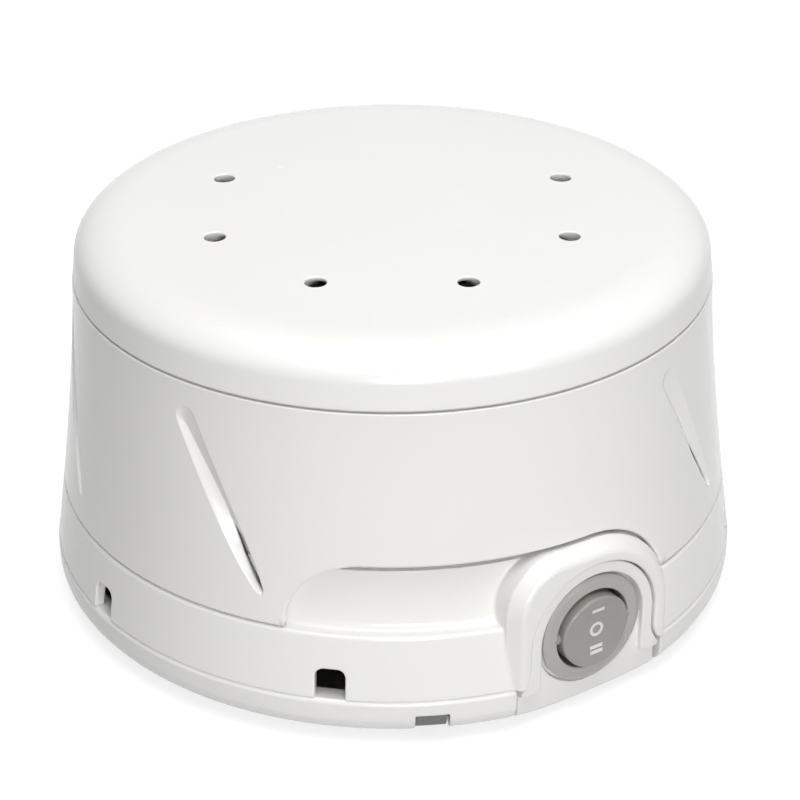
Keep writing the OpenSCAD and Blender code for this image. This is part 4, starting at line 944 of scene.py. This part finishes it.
PLATE_Z, FLOOR_Z, LIP_R, LIP_ROUND, LIP_INNER_R, LIP_CHAMFER = 1.7, 3.9, 73.2, 4.5, 68.8, 2.6
FOOT_AZ = [5.9 + 90 * k for k in range(4)]
SLOT_MIDDLE, SLOT_HALF, SLOT_TOP, SLOT_IN, BREAK_IN = 0.2, 3.35, 6.65, 57.1, 66.4
SCREW_AZ, SCREW_RING_R, SINK_R, SINK_TOP = [56.0 + 90 * k for k in range(4)], 60.0, 3.1, 3.9
PLATE_FROM, BREAK_SIDE_AZ, BREAK_ROUND, SLOT_ROUND = -146.5, 15, 0.3, 0.25

lip_arc = [
    (LIP_R - LIP_ROUND + LIP_ROUND * math.sin(a), PLATE_Z + LIP_ROUND - LIP_ROUND * math.cos(a))
    for a in np.radians(np.linspace(0, 90, 16))
]
inner_lip = trace([
    lip_arc[-1], (LIP_R, SEAM_Z - 0.5, 0.9), (LIP_R - 0.7, SEAM_Z, 0.3), (LIP_INNER_R, SEAM_Z, 0.3),
    (LIP_INNER_R, FLOOR_Z + LIP_CHAMFER, 1.0), (LIP_INNER_R - LIP_CHAMFER, FLOOR_Z, 1.0), (0, FLOOR_Z),
], step=50)[0]
plate_profile = np.array([(0, PLATE_Z), *lip_arc, *inner_lip[1:]])


def plate_field(az, z, r):
    """The bottom plate's plastic."""
    body = profile_distance(r, z, plate_profile)
    e, n = side_on(az, r, POD_AZ)
    body = cut_by(body, np.maximum(np.abs(e) - BREAK_HALF, BREAK_IN - n) + 0 * z, BREAK_ROUND)
    for middle in FOOT_AZ:
        e, n = side_on(az, r, middle)
        slot = np.maximum(np.maximum(np.abs(e - SLOT_MIDDLE) - SLOT_HALF, z - SLOT_TOP), SLOT_IN - n)
        body = cut_by(body, slot, SLOT_ROUND)
    for middle in SCREW_AZ:
        e, n = side_on(az, r, middle)
        body = np.maximum(body, -np.maximum(np.hypot(e, n - SCREW_RING_R) - SINK_R, z - SINK_TOP))
    return body


fine = [(a - 3.6, a + 3.6, FINE_AZ) for a in FOOT_AZ] + [(a - 3.4, a + 3.4, 0.34) for a in SCREW_AZ]
fine += [(a - 1.7, a + 1.7, FINE_AZ) for a in (POD_AZ - BREAK_SIDE_AZ, POD_AZ + BREAK_SIDE_AZ)]
fine = [(a + t, b + t, s) for a, b, s in fine for t in (-360, 0, 360)]
plate_axes = (
    lines(PLATE_FROM, PLATE_FROM + 360, 3.0, fine), lines(1.3, 10.3, 0.31), lines(0.0, 73.7, 7.0, [(56.2, 73.7, 0.33)]),
)
plate_mesh = weld(*skin(plate_field, plate_axes, round_body, sides + [(2, 0)]))
plate_white = moulded("plate_white", (0.89, 0.883, 0.864), (0.865, 0.856, 0.834), 0.22)
piece("bottom_plate_moulding", plate_mesh, "base", plate_white, "bottom_plate")

# ---- Switch panel ----
# A separate arched face plate, pressed into the pod, with a raised rim round its sunk field. Its flared foot stands
# in the break in the lip and carries on the lip's roll.

PANEL_FRONT, FIELD_DEEP, FOOT_BACK, FIELD_R, FIELD_LOW, BARREL_HOLE_R = 71.4, 1.4, 66.6, 12.45, 7.5, 10.3
PANEL_Z_TOP, MOAT_R, MOAT_HALF, MOAT_N, PANEL_GRID = SEAM_Z - 0.3, 12.05, 0.35, 68.9, 0.26
over_lip = [(LIP_R, SEAM_Z - 0.9), (LIP_R + 1.2, SEAM_Z), (LIP_R + 1.2, DECK_Z), (0, DECK_Z)]
envelope = np.array([(0, PLATE_Z), *lip_arc, *over_lip])


def panel_field(e, z, n):
    """The face panel's plastic."""
    straight = np.abs(e) + 0 * z - PANEL_R - PANEL_FLARE
    plate = np.maximum(panel_shape(e, z, 0), PANEL_BACK - n)
    foot = np.maximum(np.maximum(straight, z - PANEL_Z_TOP), FOOT_BACK - n)
    body = np.maximum(np.minimum(plate, foot), n - PANEL_FRONT)
    outline = np.where(z > PANEL_Z_TOP - 1, panel_shape(e, z, 0), straight)
    body = kept_in(body, kept_in(outline + 0 * n, n + 0 * outline - PANEL_FRONT, 0.4), 0.05)
    body = kept_in(body, profile_distance(np.hypot(e, n), z, envelope), 0.3)
    field = arch(e, z, FIELD_R)
    field = np.where(z > FIELD_LOW + 2.5, field, joined(field, z - FIELD_LOW + 0 * field, 1.2))
    field = kept_in(field + 0 * n, PANEL_FRONT - FIELD_DEEP - n + 0 * field, 0.5)
    body = cut_by(body, field, 0.5)
    ring = np.hypot(e, z - SWITCH_Z)
    moat = np.maximum(np.abs(ring - MOAT_R) - MOAT_HALF, MOAT_N - n)
    return np.maximum(np.maximum(body, -moat), BARREL_HOLE_R - ring)


panel_axes = [lines(low, high, PANEL_GRID) for low, high in ((-17.6, 17.6), (1.3, 33.3), (66.2, 71.9))]
panel_white = moulded("panel_white", (0.895, 0.888, 0.87), (0.87, 0.862, 0.84), 0.22)
panel_mesh = skin(panel_field, panel_axes, facing(POD_AZ))
piece("switch_panel_moulding", panel_mesh, "base", panel_white, "switch_panel")

# ---- Switch ----
# A snap-in round rocker switch with three positions: a grey bezel and barrel moulded in one, and a round rocker on
# two pivot pins, with printed marks that keep their own thin solids.

BEZEL_R, OPENING_R, BARREL_R, ROCKER_R, PIN_R, PIN_HALF = 11.8, 8.75, 10.2, 7.9, 1.2, 9.5
FIELD_N, BARREL_L, CAVITY_L, BEZEL_RISE, ROCKER_RISE, ROCKER_DEEP = 70.0, 18.0, 6.5, 1.2, 2.8, 3.0
DISH_DEEP, DISH_HALF, ROCKER_HALF, ROCKER_GRID = 0.6, 6.8, 8.3, 0.24
DISH_R = (DISH_HALF**2 + DISH_DEEP**2) / (2 * DISH_DEEP)


def turned_out(corners, az, z, steps=120):
    """A turned piece whose axis points straight out at an azimuth and height. Corners: (radius, distance, rounding)."""
    a = np.radians(np.arange(steps) * 360 / steps)
    s, c = np.sin(a)[:, None], np.cos(a)[:, None]
    points, normals = (
        np.stack([v[:, 0] * s, -v[:, 0] * c, v[:, 1] + 0 * s], 2).reshape(-1, 3) @ outward(az)
        for v in trace(corners, 1, 3.0)
    )
    m = len(points) // steps
    ends = ((i * m, (i + 1) % steps * m) for i in range(steps))
    faces = [(p + k, q + k, q + k + 1, p + k + 1) for p, q in ends for k in range(m - 1)]
    return weld(points + [0, 0, z], faces, normals)


def speckled(name, colour, flow_colour, rough, bump=6e-6, dust=0.2):
    """Grey plastic from a spark-eroded mould, or rubber."""
    values = {"Colour": colour, "Flow Colour": flow_colour, "Roughness": rough, "Spread": 0.12, "Grain": 1.0}
    return finish_with(name, grain_tree, values | {"Dust": dust}, bump)


t, given, made = group("eroded_grain", ["Colour", "Flow Colour"], ["Roughness", "Spread", "Grain", "Dust"])
grain_tree = t
pits, patches = noise(t, 4200, 3, 0.6), noise(t, 90, 4, 0.6)
speck = banded(noise(t, 2600, 4, 0.7), 0.58, 0.72)
toned = blend_colours(banded(patches, 0.35, 0.65), given["Colour"], given["Flow Colour"])
t.links.new(blend_colours(times(speck, given["Dust"]), toned, (0.55, 0.54, 0.52, 1)), made["Colour"])
t.links.new(plus(given["Roughness"], times(maths("SUBTRACT", patches, 0.5), given["Spread"])), made["Roughness"])
t.links.new(times(pits, given["Grain"]), made["Height"])

bezel_mesh = turned_out([
    (0, FIELD_N - BARREL_L), (BARREL_R, FIELD_N - BARREL_L, 0.5), (BARREL_R, FIELD_N, 0.1), (BEZEL_R, FIELD_N, 0.1),
    (BEZEL_R, FIELD_N + 0.65, 0.35), (BEZEL_R - 0.9, FIELD_N + 1.08, 0.8), (OPENING_R, FIELD_N + BEZEL_RISE, 0.35),
    (OPENING_R, FIELD_N - CAVITY_L, 0.2), (0, FIELD_N - CAVITY_L),
], POD_AZ, SWITCH_Z)
bezel_grey = speckled("bezel_grey", (0.46, 0.45, 0.425), (0.43, 0.42, 0.395), 0.26, 4e-6)
piece("switch_bezel", bezel_mesh, "base", bezel_grey, "switch_body")


def rocker_field(e, z, n):
    """The rocker's plastic: a round button with a hollowed face and a soft edge."""
    up = z - SWITCH_Z
    hollow = DISH_R - np.hypot(up, n - (FIELD_N + ROCKER_RISE - DISH_DEEP + DISH_R))
    face = np.maximum(n - FIELD_N - ROCKER_RISE, hollow)
    body = kept_in(np.hypot(e, up) - ROCKER_R, face, 0.55)
    return kept_in(body, FIELD_N - ROCKER_DEEP - n, 0.3)


rocker_axes = (
    lines(-ROCKER_HALF, ROCKER_HALF, ROCKER_GRID),
    lines(SWITCH_Z - ROCKER_HALF, SWITCH_Z + ROCKER_HALF, ROCKER_GRID),
    lines(FIELD_N - ROCKER_DEEP - 0.5, FIELD_N + ROCKER_RISE + 0.4, ROCKER_GRID),
)
rocker_parts = [skin(rocker_field, rocker_axes, facing(POD_AZ))]
for hand in (-1, 1):
    pin = turned_out([(0, 0), (PIN_R, 0, 0.2), (PIN_R, PIN_HALF, 0.3), (0, PIN_HALF)], POD_AZ + 90 * hand, 0, 32)
    rocker_parts.append((pin[0] + np.array([0, SWITCH_Z, FIELD_N]) @ outward(POD_AZ), *pin[1:]))
rocker_grey = speckled("rocker_grey", (0.335, 0.325, 0.305), (0.31, 0.30, 0.28), 0.24, 3e-6)
piece("switch_rocker_moulding", gathered(rocker_parts), "rocker", rocker_grey, "switch_rocker")


def dress(finish, *nodes):
    """Gives CAD pieces that keep their own mesh their finish."""
    for node in nodes:
        for place in frame["nodes"][node].material_slots:
            place.material = finish


# The marks are hot-stamped white foil, with a fine grain and a few grey specks
dress(speckled("marks_white", (0.80, 0.80, 0.78), (0.74, 0.74, 0.72), 0.42, 2e-6, 0.25), "switch_marks")

# ---- Feet ----
# Four rubber feet pushed up through the plate, with tongues that show in the lip's slots. Dull dark grey rubber with
# a matt moulded grain.

dress(speckled("feet_rubber", (0.20, 0.198, 0.19), (0.17, 0.168, 0.16), 0.68, 1.6e-5, 0.45), "rubber_feet")

# ---- Cord gland ----
# A turned-looking nylon bush at the back with rounded edges, held from inside by a hexagonal nut.

GLAND_BORE_R, GLAND_BARREL_OUT_R = 3.3, GLAND_PAD_R - 1.5
GLAND_END, GLAND_FACE = GLAND_FLAT - 9.0, GLAND_FLAT + 1.5
gland_mesh = turned_out([
    (GLAND_BORE_R + 0.5, GLAND_END), (GLAND_BARREL_OUT_R, GLAND_END, 0.5), (GLAND_BARREL_OUT_R, GLAND_FLAT),
    (GLAND_PAD_R, GLAND_FLAT), (GLAND_PAD_R, GLAND_FACE, 0.6), (GLAND_BORE_R, GLAND_FACE, 0.7),
    (GLAND_BORE_R, GLAND_END, 0.4), (GLAND_BORE_R + 0.5, GLAND_END),
], GLAND_AZ, GLAND_Z, 72)
gland_nylon = speckled("gland_nylon", (0.46, 0.455, 0.44), (0.42, 0.415, 0.40), 0.40, 5e-6)
piece("cord_gland_bush", gland_mesh, "base", gland_nylon, "cord_gland")
dress(speckled("nut_nylon", (0.22, 0.22, 0.215), (0.19, 0.19, 0.185), 0.45), "gland_nut")

# ---- Drum and felt ----
# The sound drum is a plain satin moulding that the fan blows into. A pressed felt ring on it steadies the cap.

dress(moulded("drum_white", (0.62, 0.62, 0.60), (0.58, 0.575, 0.55), 0.42, 0.7, 0.1, 0.5, 6e-6), "sound_drum")
felt = bpy.data.materials.new("felt_grey")
felt.use_nodes = True
t = felt.node_tree
fibre = t.nodes["Principled BSDF"].inputs
tufts, strands = noise(t, 900, 6, 0.8), noise(t, 2400, 4, 0.7, (1.0, 0.25, 1.0))
cloth = blend_colours(banded(tufts, 0.35, 0.7), (0.20, 0.195, 0.185, 1), (0.36, 0.35, 0.335, 1))
t.links.new(cloth, fibre["Base Color"])
fibre["Roughness"].default_value = 0.95
fibre["Sheen Weight"].default_value = 0.4
nap = t.nodes.new("ShaderNodeBump")
nap.inputs["Distance"].default_value = 1.5e-4
t.links.new(plus(tufts, strands), nap.inputs["Height"])
t.links.new(nap.outputs["Normal"], fibre["Normal"])
dress(felt, "felt_ring")

# ---- Fan ----
# One-piece centrifugal wheel moulded in pale nylon, pushed on the shaft and kept there by a sprung steel clip.

dress(moulded("fan_nylon", (0.56, 0.57, 0.57), (0.50, 0.51, 0.51), 0.36, 0.8, 0.08, 0.7, 5e-6), "fan_wheel")

# ---- Motor ----
# A shaded-pole motor: riveted laminations with a bobbin and an enamelled winding, two stamped brackets with
# sintered bearings, a die-cast rotor on a ground shaft, hung on rubber grommets.

t, given, made = group("worked_metal", ["Colour", "Tarnish"], ["Share", "Roughness", "Strokes", "Pitting"])
metal_tree = t
stroke = noise(t, 900, 4, 0.6, (1.0, 1.0, 14.0))
aged = times(banded(noise(t, 120, 5, 0.65), 0.45, 0.75), given["Share"])
pits = times(banded(noise(t, 3000, 3, 0.6), 0.62, 0.78), given["Pitting"])
t.links.new(blend_colours(aged, given["Colour"], given["Tarnish"]), made["Colour"])
t.links.new(plus(plus(given["Roughness"], times(stroke, 0.16)), times(aged, 0.25)), made["Roughness"])
t.links.new(maths("SUBTRACT", times(stroke, given["Strokes"]), pits), made["Height"])


def metal(name, colour, tarnish, share, rough, strokes=1.0, pitting=0.4, bump=4e-6):
    """Bare or plated metal with its working marks and some tarnish."""
    values = {"Colour": colour, "Tarnish": tarnish, "Share": share, "Roughness": rough}
    return finish_with(name, metal_tree, values | {"Strokes": strokes, "Pitting": pitting}, bump, 1.0)


# Laid wires or sheets: even bands up the Z axis, with their own relief
t, given, made = group("laid_layers", ["Colour", "Gap Colour"], ["Layers Per Metre", "Roughness"])
laid_tree = t
waver = times(maths("SUBTRACT", noise(t, 300, 2, 0.5), 0.5), 0.12)
turns = plus(times(split_up(own_place(t)), given["Layers Per Metre"]), waver)
wave = times(plus(maths("SINE", times(turns, 2 * math.pi)), 1.0), 0.5)
tone = blend_colours(times(banded(noise(t, 700, 4, 0.6), 0.3, 0.75), 0.18), given["Colour"], (0, 0, 0, 1))
t.links.new(blend_colours(banded(wave, 0.35, 0.0), tone, given["Gap Colour"]), made["Colour"])
t.links.new(plus(given["Roughness"], times(noise(t, 500, 3, 0.6), 0.2)), made["Roughness"])
t.links.new(wave, made["Height"])


def laid(name, colour, gap_colour, per_mm, metallic, rough, deep):
    """Material made of laid wires or sheets."""
    values = {"Colour": colour, "Gap Colour": gap_colour, "Layers Per Metre": per_mm / MM, "Roughness": rough}
    return finish_with(name, laid_tree, values, deep, metallic)


screws = ("motor_screws", "mount_screws", "plate_screws", "drum_screws")
plated_steel = metal("plated_steel", (0.62, 0.615, 0.60), (0.40, 0.37, 0.32), 0.35, 0.26)
dress(plated_steel, "upper_bracket", "lower_bracket", "fan_clip", *screws)
dress(metal("ground_steel", (0.70, 0.70, 0.69), (0.48, 0.46, 0.43), 0.15, 0.12, 0.6, 0.1, 2e-6), "motor_shaft")
dress(metal("cast_rotor", (0.52, 0.52, 0.51), (0.30, 0.28, 0.25), 0.5, 0.40, 0.5, 1.0, 1.5e-5), "motor_rotor")
dress(metal("bare_copper", (0.80, 0.42, 0.26), (0.42, 0.22, 0.14), 0.5, 0.28), "shading_rings")
dress(metal("tinned_brass", (0.72, 0.68, 0.58), (0.50, 0.42, 0.28), 0.4, 0.26), "switch_terminals")
bearing_bronze = metal("bearing_bronze", (0.55, 0.38, 0.22), (0.25, 0.17, 0.10), 0.6, 0.48, 0.2, 1.6, 2e-5)
dress(bearing_bronze, "upper_bearing", "lower_bearing")
dress(laid("core_sheets", (0.30, 0.30, 0.31), (0.08, 0.075, 0.07), 1.6, 1.0, 0.38, 5e-5), "stator_core")
dress(laid("winding_wire", (0.55, 0.20, 0.08), (0.16, 0.05, 0.02), 2.6, 0.85, 0.22, 6e-5), "coil_winding")
dress(moulded("bobbin_nylon", (0.70, 0.66, 0.54), (0.62, 0.57, 0.44), 0.40, 0.8, 0.08, 0.4, 6e-6), "coil_bobbin")
dress(moulded("fuse_sleeve", (0.72, 0.70, 0.62), (0.62, 0.58, 0.48), 0.35, 0.8, 0.05, 0.3, 8e-6), "thermal_fuse")
dress(speckled("washer_fibre", (0.30, 0.13, 0.07), (0.22, 0.09, 0.05), 0.62, 1.5e-5, 0.3), "thrust_washers")
dress(speckled("grommet_rubber", (0.045, 0.044, 0.042), (0.035, 0.034, 0.032), 0.66, 2e-5, 0.5), "rubber_grommets")

# ---- Leads ----
# Stranded wires in soft plastic insulation, red to the motor and black to the mains, with a faint sheen.

dress(moulded("red_sleeve", (0.48, 0.035, 0.03), (0.36, 0.025, 0.02), 0.34, 0.6, 0.12, 0.3, 8e-6), "motor_leads")
dress(moulded("black_sleeve", (0.035, 0.035, 0.036), (0.05, 0.05, 0.05), 0.36, 0.6, 0.12, 0.3, 8e-6), "supply_leads")

size = {"cad": [list(map(float, c)) for c in cad_box], "visual": [list(map(float, c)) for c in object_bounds()]}
